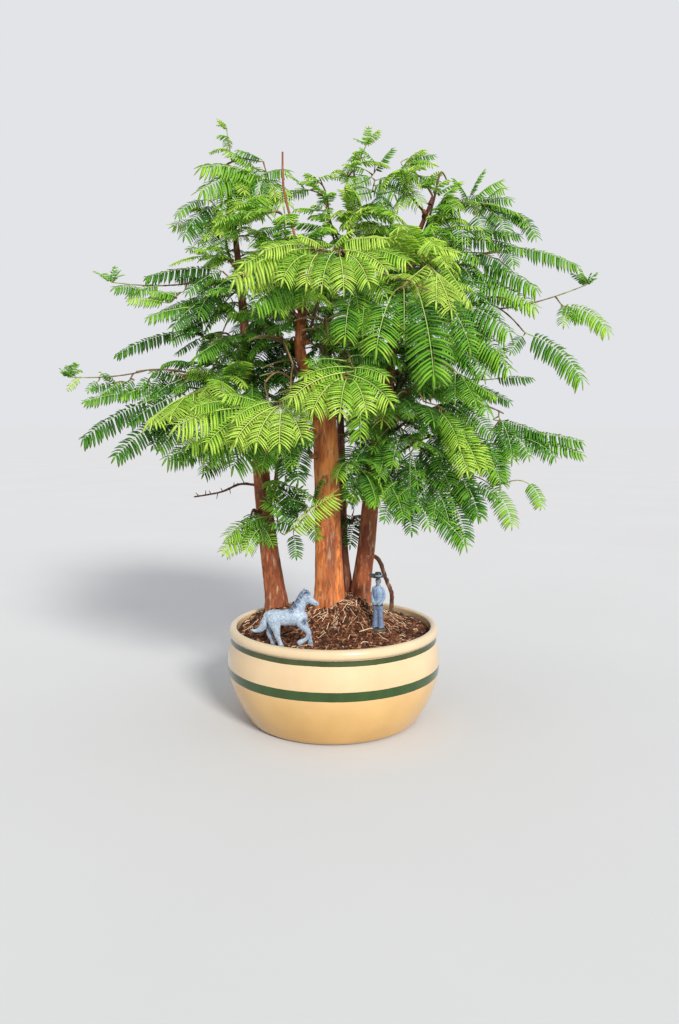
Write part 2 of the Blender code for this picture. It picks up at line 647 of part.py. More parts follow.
def main_twig(curve, row, climb, shift, last):
    """A shoot's first twig: the trunk's centre, the trunk's radius and four control points. Its end
    frond's tip is where the table says, so the twig ends a frond before it."""
    height, tip, arch, hang, _ = row
    tip = Vector(tip)
    centre, radius = trunk_at(curve, height + climb)
    reach = Vector((tip.x - centre.x, tip.y - centre.y, 0.0))
    flat = reach.normalized()
    slope = max(TWIG_SLOPES[0], min(TWIG_SLOPES[1], (tip.z - height) / reach.length + TWIG_LIFT))
    heading = (flat + UP * slope).normalized()
    if height >= curve[-1][2]:
        heading = Vector((curve[-1] - curve[-2])[:3]).normalized()
        radius = 0.0
    start = centre + heading * (radius + STUB_LENGTH + GAP)
    last["heading"] = math.atan2(flat.y, flat.x)
    last["base"] = Vector((0.0, 0.0, 0.0))
    end = tip - arc_frame(last, 1.0)[0]
    end_heading = arc_frame(last, 0.0)[1]
    third = (end - start).length / 3
    dodge = flat.cross(UP) * shift + UP * (arch + abs(shift) * SHIFT_LIFT)
    last["base"] = end - end_heading * FROND_ROOT
    twig = [start, start + heading * third + dodge, end - end_heading * third + dodge, end]
    return centre, radius, twig


def stem_is_clear(centre, radius, spots, own, others):
    """Whether a stem is clear of all others, and past its first stretch also of its own trunk."""
    ahead = (spots[1] - spots[0]).normalized()
    free = spots[0] + ahead * min(FREE_START, (spots[1] - spots[0]).length * 0.9)
    skin = centre + (spots[0] - centre).normalized() * max(radius, 0.0)
    near = stem_tree([skin, free], [STUB_RADIUS] * 2)
    far = stem_tree([free] + spots[1:], [TWIG_RADIUS[0]] * len(spots))
    return is_clear(near, others) and is_clear(far, others) and is_clear(far, own)


def grow_shoot(curve, row, own, others, dice):
    """A shoot's stub, twigs and fronds, clear of its own trunk and of all others, or nothing."""
    height, tip, _, hang, size = row
    upright = height >= curve[-1][2]
    span = (Vector(tip) - trunk_at(curve, height)[0]).length
    if upright:
        end_pitch, end_bend = (math.radians(angle) for angle in LEADER_ANGLES)
        end_length = size
    else:
        end_pitch = math.radians(END_FROND_ANGLE - hang / 2)
        end_bend = math.radians(END_FROND_ANGLE + hang / 2)
        end_length = min(size * END_FROND_SHARE, span * END_FROND_MOST)
    last = new_frond(Vector((0, 0, 0)), 0.0, end_pitch, end_bend, end_length, not upright, dice)
    trials = [(climb, shift) for climb in (CLIMBS[:1] if upright else CLIMBS) for shift in SHIFTS]
    for climb, shift in trials:
        centre, radius, twig = main_twig(curve, row, climb, shift, last)
        branching = not upright and twig_length(twig) > SIDE_TWIG_SPAN
        shares = pair_shares(twig, BARE_SHARE, PAIR_SPACING)
        knots = twig_knots(twig)
        spots = [on_twig(twig, knot) for knot in knots]
        if stem_is_clear(centre, radius, spots, [] if upright else own, others):
            break
    else:
        return None
    skin = centre + (twig[0] - centre).normalized() * max(radius, 0.0)
    shoot = {"centre": centre, "radius": radius, "twigs": [(twig, knots, TWIG_RADIUS)], "fronds": []}
    around = own + others
    place_fronds([last], shoot["fronds"], around)
    for share, side, reach in SIDE_TWIGS if branching else ():
        ahead = twig_heading(twig, share)
        spread = math.radians(SIDE_TWIG_SPREAD + dice.uniform(-SCATTER, SCATTER))
        turn = math.atan2(ahead.y, ahead.x) + side * spread
        pitch = math.radians(SIDE_TWIG_PITCH + dice.uniform(-SCATTER, SCATTER))
        base = on_stem(twig, knots, share)
        sag = math.radians(hang * SIDE_TWIG_SAG) + pitch
        arc = new_frond(base, turn, pitch, sag, twig_length(twig) * reach, True, dice)
        end, end_heading, _, _ = arc_frame(arc, 1.0)
        third = arc["length"] / 3
        branch = [base, base + arc_frame(arc, 0.0)[1] * third, end - end_heading * third, end]
        spots = [on_twig(branch, knot) for knot in (SIDE_TWIG_FREE, *SIDE_KNOTS[1:])]
        tree = stem_tree(spots, [SIDE_TWIG_RADIUS[0]] * len(spots))
        if not is_clear(tree, around):
            continue
        around.append(tree)
        pitch = math.asin(end_heading.z)
        end_frond = new_frond(end - end_heading * FROND_ROOT, turn, pitch, pitch + math.radians(hang),
                              size * SIDE_END_SHARE, False, dice)
        shoot["twigs"].append((branch, SIDE_KNOTS, SIDE_TWIG_RADIUS))
        beside = side_fronds(branch, SIDE_KNOTS, SIDE_KNOTS[1:2], hang, size * SIDE_FROND_SHARE, False, dice)
        place_fronds([end_frond, beside[side > 0]], shoot["fronds"], around)
    place_fronds(side_fronds(twig, knots, shares, hang, size, upright, dice), shoot["fronds"], around)
    others.append(stem_tree([skin, twig[0]], [STUB_RADIUS] * 2))
    for branch, knots, radii in shoot["twigs"]:
        spots = [on_twig(branch, knot) for knot in knots]
        others.append(stem_tree(spots, [radii[0]] * len(spots)))
    others.extend(sheet_solid(frond) for frond in shoot["fronds"])
    return shoot


def grow_forest():
    """All shoots by trunk and number: the leaders grow first, then the others from front to back."""
    walls = {}
    for name in TRUNKS:
        curve = trunk_curve(name)
        walls[name] = [stem_tree([Vector(p[:3]) for p in curve], [p[3] for p in curve])]
        for route, thick, _ in BARE_WOOD[name]:
            walls[name].append(stem_tree([Vector(p) for p in route], [thick] * len(route)))
    rows = []
    for name in TRUNKS:
        top = TRUNKS[name]["route"][-1][2]
        rows += [(row[0] < top, row[1][1], name, number) for number, row in enumerate(SHOOTS[name], 1)]
    grown = []
    forest = {}
    for _, _, name, number in sorted(rows):
        others = [tree for other in TRUNKS if other != name for tree in walls[other]] + grown
        before = len(others)
        dice = random.Random(f"{name} {number}")
        shoot = grow_shoot(trunk_curve(name), SHOOTS[name][number - 1], walls[name], others, dice)
        if shoot:
            forest[name, number] = shoot
            grown += others[before:]
    return forest


def make_shoot(name, parts, work, shoot):
    """One leafy shoot as one closed body."""
    stems = []
    for twig, knots, (thick, thin) in shoot["twigs"]:
        spots = [on_twig(twig, knot) for knot in knots]
        sizes = [thick + (thin - thick) * knot for knot in knots]
        stems.append(tube(name if not stems else "twig", work if stems else parts, spots, sizes, TWIG_SIDES))
    pieces = [mesh_object("frond", work, *frond_solid(frond)) for frond in shoot["fronds"]]
    finish(combine(stems[0], stems[1:] + pieces), "foliage")


def make_trunk(name, parts, work, forest):
    """A trunk with its foot, bare wood and the stubs that carry its shoots; gives its foot's size."""
    spec = TRUNKS[name]
    curve = trunk_curve(name)
    x, y, top, radius = spec["route"][0]
    bottom = top - FOOT_DEPTH
    points = [Vector((x, y, bottom)), Vector((x, y, top))] + [Vector(p[:3]) for p in curve]
    trunk = tube("trunk_" + name, parts, points, [radius, radius] + [p[3] for p in curve], spec["sides"])
    extra = []
    for route, thick, thin in BARE_WOOD[name]:
        sizes = [thick + (thin - thick) * i / (len(route) - 1) for i in range(len(route))]
        extra.append(tube("wood", work, route, sizes, 6))
    for (owner, _), shoot in forest.items():
        if owner == name:
            twig, knots, _ = shoot["twigs"][0]
            ahead = (on_twig(twig, knots[1]) - twig[0]).normalized()
            stub = [shoot["centre"], twig[0] - ahead * STUB_LENGTH * 0.6, twig[0] - ahead * GAP]
            extra.append(tube("stub", work, stub, [STUB_RADIUS] * 3, TWIG_SIDES))
    trunk = combine(trunk, extra)
    finish(trunk, "bark")
    feet = [foot_of(trunk, x, y, radius, spec["sides"])]
    if name == "right":
        feet.append(foot_of(trunk, ROOT_ROUTE[-1][0], ROOT_ROUTE[-1][1], ROOT_RADIUS, 6))
    return feet


def main():
    for obj in list(bpy.data.objects):
        bpy.data.objects.remove(obj)
    parts = new_collection("dawn_redwood_bonsai_forest")
    work = new_collection("cutters")
    forest = grow_forest()
    feet = [foot for name in TRUNKS for foot in make_trunk(name, parts, work, forest)]
    feet += make_horse(parts, work) + make_man(parts, work)
    for (name, number), shoot in forest.items():
        make_shoot(f"shoot_{name}_{number:02d}", parts, work, shoot)
    make_bowl(parts, work)
    make_soil(parts, work, feet)


main()
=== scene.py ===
"""The looks of a dawn redwood bonsai forest in a banded bowl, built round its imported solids.

Lengths are in millimetres and the meshes are made in metres, in the frame of the solids: the origin
is the centre of the bowl's flat bottom, +Z is up, and the forest's front looks along -Y. The shoots
grow by the same rules as the solids, and are then dressed with what the solids leave out.
"""

import random
from dataclasses import dataclass, replace
from itertools import product
from math import asin, atan2, cos, exp, hypot, pi, radians, sin, sqrt

import bpy
import numpy as np
from mathutils import Matrix, Vector, noise
from mathutils.bvhtree import BVHTree


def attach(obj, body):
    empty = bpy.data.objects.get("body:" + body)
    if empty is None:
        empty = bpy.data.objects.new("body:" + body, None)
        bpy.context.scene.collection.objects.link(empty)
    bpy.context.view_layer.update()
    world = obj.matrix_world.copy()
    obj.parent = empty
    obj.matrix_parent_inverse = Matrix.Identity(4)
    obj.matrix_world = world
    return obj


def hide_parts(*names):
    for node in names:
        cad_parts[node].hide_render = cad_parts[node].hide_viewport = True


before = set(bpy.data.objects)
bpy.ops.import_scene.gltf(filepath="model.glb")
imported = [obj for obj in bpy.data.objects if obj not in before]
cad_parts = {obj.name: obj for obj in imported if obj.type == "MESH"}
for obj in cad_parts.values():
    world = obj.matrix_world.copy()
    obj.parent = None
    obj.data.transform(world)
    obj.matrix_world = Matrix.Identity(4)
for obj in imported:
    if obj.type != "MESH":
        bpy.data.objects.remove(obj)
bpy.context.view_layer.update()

MM = 0.001
GAP = 0.3
UP = Vector((0.0, 0.0, 1.0))
FULL_TURN = 6.28
HALF_TURN = 3.14

# Bowl: the inner wall's line of (radius, height), and the rolled lip, the outer wall and the foot.
# Its green bands are (top, bottom, colour)
BOWL_FLOOR_HEIGHT = 8.0
BOWL_INSIDE = [(82.0, BOWL_FLOOR_HEIGHT), (94.6, 40.0), (93.8, 76.0)]
BOWL_LIP = [(93.6, 80.0), (93.6, 88.6), (94.2, 90.6), (96.3, 91.5), (98.6, 91.0), (100.3, 89.3),
            (101.0, 87.0), (100.8, 84.9), (99.9, 83.4), (98.9, 82.6), (98.5, 81.6), (98.7, 80.4)]
BOWL_WALL = [(98.7, 80.4), (100.3, 74), (101.9, 67), (102.6, 60), (102.4, 52), (101.2, 43), (99.2, 35),
             (96.0, 26), (91.4, 16), (85.5, 6.0)]
BOWL_FOOT = [(84.0, 3.4), (81.6, 1.2), (79.7, 0.3), (78.5, 0.0), (40.0, 0.0), (0.0, 0.0)]
BOWL_TURNS = 160
BOWL_WAVER = 0.0012
BANDS = ((82.4, 77.6, (0.024, 0.038, 0.003)), (56.0, 47.4, (0.015, 0.044, 0.003)))

# Soil: level at the bowl's wall, and mounds of (x, y, spread x, spread y, height). Its rings are spaced
# between a first and a last radius. Crumbs and straws lie all over it
SOIL_EDGE_HEIGHT = 82.5
SOIL_MOUNDS = [(10.0, 16.0, 46.0, 42.0, 34.0), (-58.0, 28.0, 26.0, 30.0, 15.0)]
SOIL_BUMP = 0.7
SOIL_RINGS = (0.8, 92.6, 68)
SOIL_TURNS = 200
CRUMBS = 2600
CRUMB_SIZES = (0.5, 0.7, 0.7, 1.0, 1.4)
STRAWS = 900
STRAW_CENTRES = ((-4, 10), (27, 22), (14, 30), (-58, 28), (20, 0))
CRUMB_REACH = 91.5
SOIL_REACH = 91.0
STRAW_REACH = 88.0

# Trunks: route of (x, y, z, radius); the first two points are the straight foot in the soil
FOOT_DEPTH = 16.0
TRUNKS = {
    "main": [
        (-4, 10, 114, 15.2), (-4, 10, 122, 14.8), (-5, 8, 160, 13.6), (-6, 5, 216, 12.8), (-8, 2, 280, 12.2),
        (-12, 0, 306, 10.6), (-22, 0, 324, 7.0), (-31, 0, 350, 5.6), (-30, 1, 376, 5.2), (-28, 2, 402, 4.6),
        (-35, 4, 450, 2.4), (-38, 6, 466, 2.3), (-46, 8, 500, 2.0), (-47, 10, 533, 1.5)],
    "left": [
        (-58, 28, 101, 11.2), (-58, 28, 108, 10.8), (-63, 27, 147, 9.4), (-68, 26, 193, 8.6),
        (-71, 25, 230, 8.2), (-76, 25, 290, 6.6), (-84, 27, 350, 5.2), (-90, 30, 420, 3.6),
        (-97, 34, 480, 2.6), (-104, 38, 522, 1.7)],
    "right": [
        (27, 22, 113, 10.4), (27, 22, 120, 10.0), (32, 18, 160, 9.0), (36, 14, 208, 8.4), (41, 12, 253, 7.6),
        (48, 10, 295, 6.4), (55, 9, 345, 5.0), (66, 12, 410, 3.6), (78, 15, 455, 2.6), (91, 17, 488, 1.7)],
    "rear": [
        (14, 30, 115, 4.4), (14, 30, 122, 4.3), (10, 31, 165, 4.0), (8, 33, 240, 3.8), (5, 36, 305, 3.6),
        (-7, 40, 361, 3.2), (-1, 42, 404, 2.8), (14, 42, 464, 2.1), (13, 40, 505, 1.6)],
}
CURVES = {name: [Vector(row) for row in route[1:]] for name, route in TRUNKS.items()}

# A crooked bare root that arches from the right trunk back into the soil
ROOT_ROUTE = [(33, 17, 156), (44, 19, 150), (52, 22, 130), (58, 26, 114), (58, 28, 100), (58, 28, 86)]
ROOT_RADIUS = 2.2

# Bare wood fused to a trunk: route points (x, y, z) with a start and an end radius
BARE_WOOD = {
    "main": [([(-30, 1, 378), (-42, -3, 392), (-52, -6, 407)], 3.6, 2.4)],
    "left": [([(-71, 25, 222), (-92, 28, 224), (-112, 30, 216), (-139, 30, 211)], 1.5, 0.8),
             ([(-68, 26, 196), (-58, 22, 222), (-55, 20, 246)], 3.0, 1.8)],
    "right": [([(44, 11, 268), (58, 4, 283), (71, -2, 312)], 2.6, 1.6),
              (ROOT_ROUTE, ROOT_RADIUS, ROOT_RADIUS)],
    "rear": [],
}

# Bark: knots are (height, turn in degrees: 90 at the left, 180 in front, 270 at the right, size)
TRUNK_LOOK = {
    "main": {"sides": 80, "seed": 3.0, "lobes": 5, "flare": 0.12, "girth": 0.94, "tone": 0.78,
             "knots": [(272, 128, 2.6), (231, 172, 2.2), (150, 285, 1.8), (186, 60, 2.2), (120, 140, 1.6)]},
    "left": {"sides": 60, "seed": 11.0, "lobes": 4, "flare": 0.10, "girth": 0.97, "tone": 0.34,
             "knots": [(214, 150, 1.8), (176, 215, 1.6), (140, 120, 1.5)]},
    "right": {"sides": 60, "seed": 23.0, "lobes": 5, "flare": 0.14, "girth": 0.96, "tone": 0.48,
              "knots": [(206, 190, 1.9), (160, 230, 1.6), (258, 160, 1.9)]},
    "rear": {"sides": 40, "seed": 37.0, "lobes": 3, "flare": 0.2, "girth": 0.97, "tone": 0.15,
             "knots": [(180, 170, 1.2)]},
}
RING_SPACING = 2.2
LEADER_FROM = 440.0
LEADER_THINNER = 0.42
LEADER_FADE = 14.0
DIM_FROM = 260.0
DIM_OVER = 200.0
STUB_SIDES = 12
WOOD_SIDES = 10
WOOD_SLIMMER = 0.95
HIGH_WOOD = 400.0
HIGH_WOOD_SLIMMER = 0.62
SPURS = 9
SPURS_BELOW = 2.0

# Leafy shoots: the height where each leaves its trunk, the tip of its end frond, how far it arches,
# how steeply its fronds hang at their tips (degrees), and the length of a frond
SHOOTS = {
    "left": [
        (302, (-250, 0, 326), 12, 20, 44), (286, (-232, -25, 268), 20, 50, 54),
        (268, (-194, -55, 254), 14, 50, 54), (382, (-210, 5, 404), 8, 25, 50),
        (338, (-220, 40, 350), 16, 30, 44), (432, (-152, 0, 470), 10, 30, 46),
        (462, (-134, 20, 506), 10, 30, 46), (522, (-107, 40, 568), 0, 10, 38),
        (278, (-152, -92, 284), 18, 40, 60), (250, (-118, -42, 240), 8, 60, 46),
        (196, (-98, -18, 170), 8, 55, 50), (206, (-12, -24, 208), 4, 40, 46),
        (350, (-165, 105, 340), 18, 40, 54), (412, (-112, 112, 420), 16, 45, 52),
        (300, (-110, 118, 268), 16, 50, 54)],
    "main": [
        (288, (-114, -122, 280), 22, 45, 66), (298, (-54, -140, 282), 34, 60, 66),
        (308, (4, -142, 302), 40, 65, 66), (318, (46, -104, 296), 14, 60, 70),
        (388, (-76, -108, 388), 26, 35, 62), (376, (10, -120, 404), 30, 40, 62),
        (399, (-110, -42, 454), 14, 35, 52), (252, (-70, -46, 240), 16, 55, 52),
        (358, (68, -136, 318), 60, 80, 80), (326, (-120, -58, 340), 20, 40, 60)],
    "right": [
        (330, (244, -5, 330), 34, 55, 60), (388, (236, 20, 432), 10, 25, 50),
        (272, (232, -20, 270), 20, 35, 54), (246, (180, -40, 230), 14, 50, 52),
        (226, (116, -70, 180), 20, 65, 56), (352, (190, -42, 362), 14, 35, 54),
        (455, (172, 20, 508), 14, 10, 48), (430, (186, -2, 470), 14, 30, 50),
        (262, (108, -120, 248), 26, 65, 64), (312, (142, -96, 304), 24, 45, 60),
        (236, (62, -64, 200), 14, 60, 50), (488, (104, 20, 540), 0, 20, 36),
        (300, (150, 112, 300), 20, 45, 56), (392, (130, 118, 408), 16, 40, 54),
        (372, (98, -122, 388), 30, 45, 62), (476, (66, -52, 500), 10, 30, 48)],
    "rear": [
        (505, (30, 30, 556), 0, 10, 36),
        (352, (10, 148, 352), 20, 45, 58), (420, (56, 128, 452), 16, 35, 54),
        (310, (-48, 128, 300), 18, 50, 56), (470, (62, 10, 520), 8, 30, 44),
        (186, (40, 34, 176), 4, 55, 36), (398, (-62, -8, 452), 14, 30, 50),
        (430, (60, -36, 462), 16, 35, 50), (446, (-66, -22, 494), 8, 30, 48),
        (456, (-84, 66, 500), 8, 25, 46)],
}

# Twigs: radii from the trunk to the tip, and side twigs of (share along, side, length share)
STUB_LENGTH = 5.0
STUB_RADIUS = 2.2
TWIG_RADIUS = (1.9, 1.0)
TWIG_LIFT = 0.25
TWIG_SLOPES = (0.1, 1.1)
SIDE_TWIG_SPAN = 95.0
SIDE_TWIG_RADIUS = (1.4, 0.9)
SIDE_TWIGS = ((0.36, 1, 0.42), (0.62, -1, 0.34))
SIDE_TWIG_SPREAD = 46.0
SIDE_TWIG_PITCH = 16.0
SIDE_TWIG_SAG = 0.4
SIDE_TWIG_FREE = 0.12
SIDE_KNOTS = [0.0, 0.5, 1.0]
SPRIG_RADIUS = (0.85, 0.5)
SLENDER = {True: 0.8, False: 0.62}
BARE_SHARE = 0.3
PAIR_SPACING = 54.0
PAIR_PLACE = 0.35

# Fronds: angles in degrees; widths of a full and of a slim frond, as shares of its length
FROND_SPREAD = 58.0
FROND_WIDTH = (0.31, 0.23)
SLIM_BELOW = 0.27
FROND_ROLL = 14.0
FROND_ROOT = 0.6
PETIOLE_SHARE = 0.08
SWELL_START = 0.22
SWELL_SKEW = 0.8
SWELL_FULLNESS = 0.7
TIP_WIDTH_SHARE = 0.25
LEAFLET_DROOP = (0.2, 0.5)
LEAST_BEND = 0.05
FROND_RISE = (-6.0, 18.0)
FROND_FOLLOW = 0.6
FROND_SAG = 22.0
FROND_SHORTENING = 0.3
FROND_LENGTHS = (0.88, 1.1)
END_FROND_SHARE = 1.45
END_FROND_MOST = 0.6
END_FROND_ANGLE = 18.0
SIDE_END_SHARE = 1.1
SIDE_FROND_SHARE = 0.85
LEADER_ANGLES = (74.0, 30.0)
LEADER_TURNS = (55.0, 180.0, 85.0)
LEADER_PITCH = 42.0
SCATTER = 9.0

# What keeps the shoots clear of each other: a margin, and the changes tried until one is clear
CLEARANCE = 1.0
STEM_MARGIN = 1.2
SHEET_STATIONS = 5
SHEET_SLANT = (0.3, 0.4)
FREE_START = 14.0
TILTS = (0, 14, -14, 28, -28, 42, -42)
SHIFTS = (0, 8, -8, 16, -16, 26, -26, 36, -36)
SHIFT_LIFT = 0.4
CLIMBS = (0, 7, -7, 14, -14, 21, -21)

# Leaflets: their spacing follows the frond's length, within limits. A large or a small blade has
# stations along it, with the share of its width at each. The leaflets reach all the way out from the
# first place in REACH_START, after a least share, and less again from the first place in REACH_END.
# Varied values are ranges, or a mean and spread
PAIR_PITCH = (0.95, 0.029)
PAIR_LIMITS = (2.15, 3.5)
LARGE_BLADE = 11.5
BLADES = {True: ((0.10, 0.48, 0.83), (0.72, 1.0, 0.7)), False: ((0.13, 0.68), (0.88, 0.86))}
REACH_START = (0.26, 0.62)
REACH_END = (0.55, 0.5, 1.7)
BLADE_SHARE = 0.92
BLADE_THICKNESS = (0.14, 0.34)
BLADE_SLANT = (0.14, 0.32, 0.8)
BLADE_PLACES = 0.2
BLADE_REACHES = (0.9, 1.06)
BLADE_DROOPS = (0.7, 1.3)
BLADE_WIDTHS = (0.9, 1.1)
BLADE_TWIST = (14.0, 9.0)
# Leaflets are painted darker towards a frond's base and lighter towards its tip: younger growth at the tip,
# and painted shade inside the crown at the base
BLADE_YOUTH_AND_SHADE = (-0.07, 0.32, 0.06)
RIB_REACH = 0.94
RACHIS_RADIUS = (0.52, 0.24)

# Small fronds that the solids leave out, along the twigs and on small side twigs of their own
EXTRA_SPACING = 17.0
EXTRA_SPREAD = (42, 72)
EXTRA_SIZES = (0.55, 0.9)
EXTRA_TILT = 26.0
SPRIG_FROM = 60.0
SPRIG_SPACING = 34.0
SPRIG_REACH = (0.16, 0.34)
SPRIG_LONGEST = 46.0
SPRIG_SPREAD = (38, 64)
SPRIG_PITCH = (-18, 38)
SPRIG_PLACES = {True: (0.3, 0.62, 0.9), False: (0.35, 0.8)}
LONG_SPRIG = 34.0
SPRIG_RISE = (-20, 30)
SPRIG_HANG = 12
SPRIG_SIZES = (0.62, 0.95)
MOST_CROSSINGS = 2

# Sprigs that grow from the trunks themselves: from height, to height and spacing, each turned on
# from the one below it; lengths are for the lowest and the highest
CROWN = {"left": (268.0, 486.0, 6.5), "main": (330.0, 458.0, 6.0), "right": (236.0, 462.0, 5.5),
         "rear": (262.0, 470.0, 6.0)}
GOLDEN_TURN = 137.5
CROWN_SCATTER = 12
CROWN_PITCH = (8.0, 58.0)
CROWN_REACH = (62.0, 24.0)
CROWN_FRONDS = (25.0, 40.0)
CROWN_HANG = 26
CROWN_CROSSINGS = 4
CROWN_ROOM = ((95, 95, 30.0), (95, 95, 90))
CROWN_TOP = 62

# A long end frond becomes a twig with side fronds of (share along, length share, spread in degrees) and
# a shorter frond at its end. At the front the side fronds fan out and dip, so that their faces show
LONG_FROND = 58.0
SPLIT_SHARE = 0.42
SPLIT_SIDES = ((0.10, 0.40, 53), (0.30, 0.36, 53), (0.42, 0.3, 53))
SPLIT_END_WIDTH = 0.36
SPLIT_RISE = (-8, 18)
FAN_SIDES = ((0.14, 0.44, 66), (0.30, 0.48, 48), (0.42, 0.50, 26))
FAN_RISE = (-6.0, -30.0)
FAN_SHOOTS = {"main": (1, 2, 3, 5, 6, 8), "left": (9,), "right": (9, 10, 15)}
WHOLE_SHOOTS = (("main", 4),)
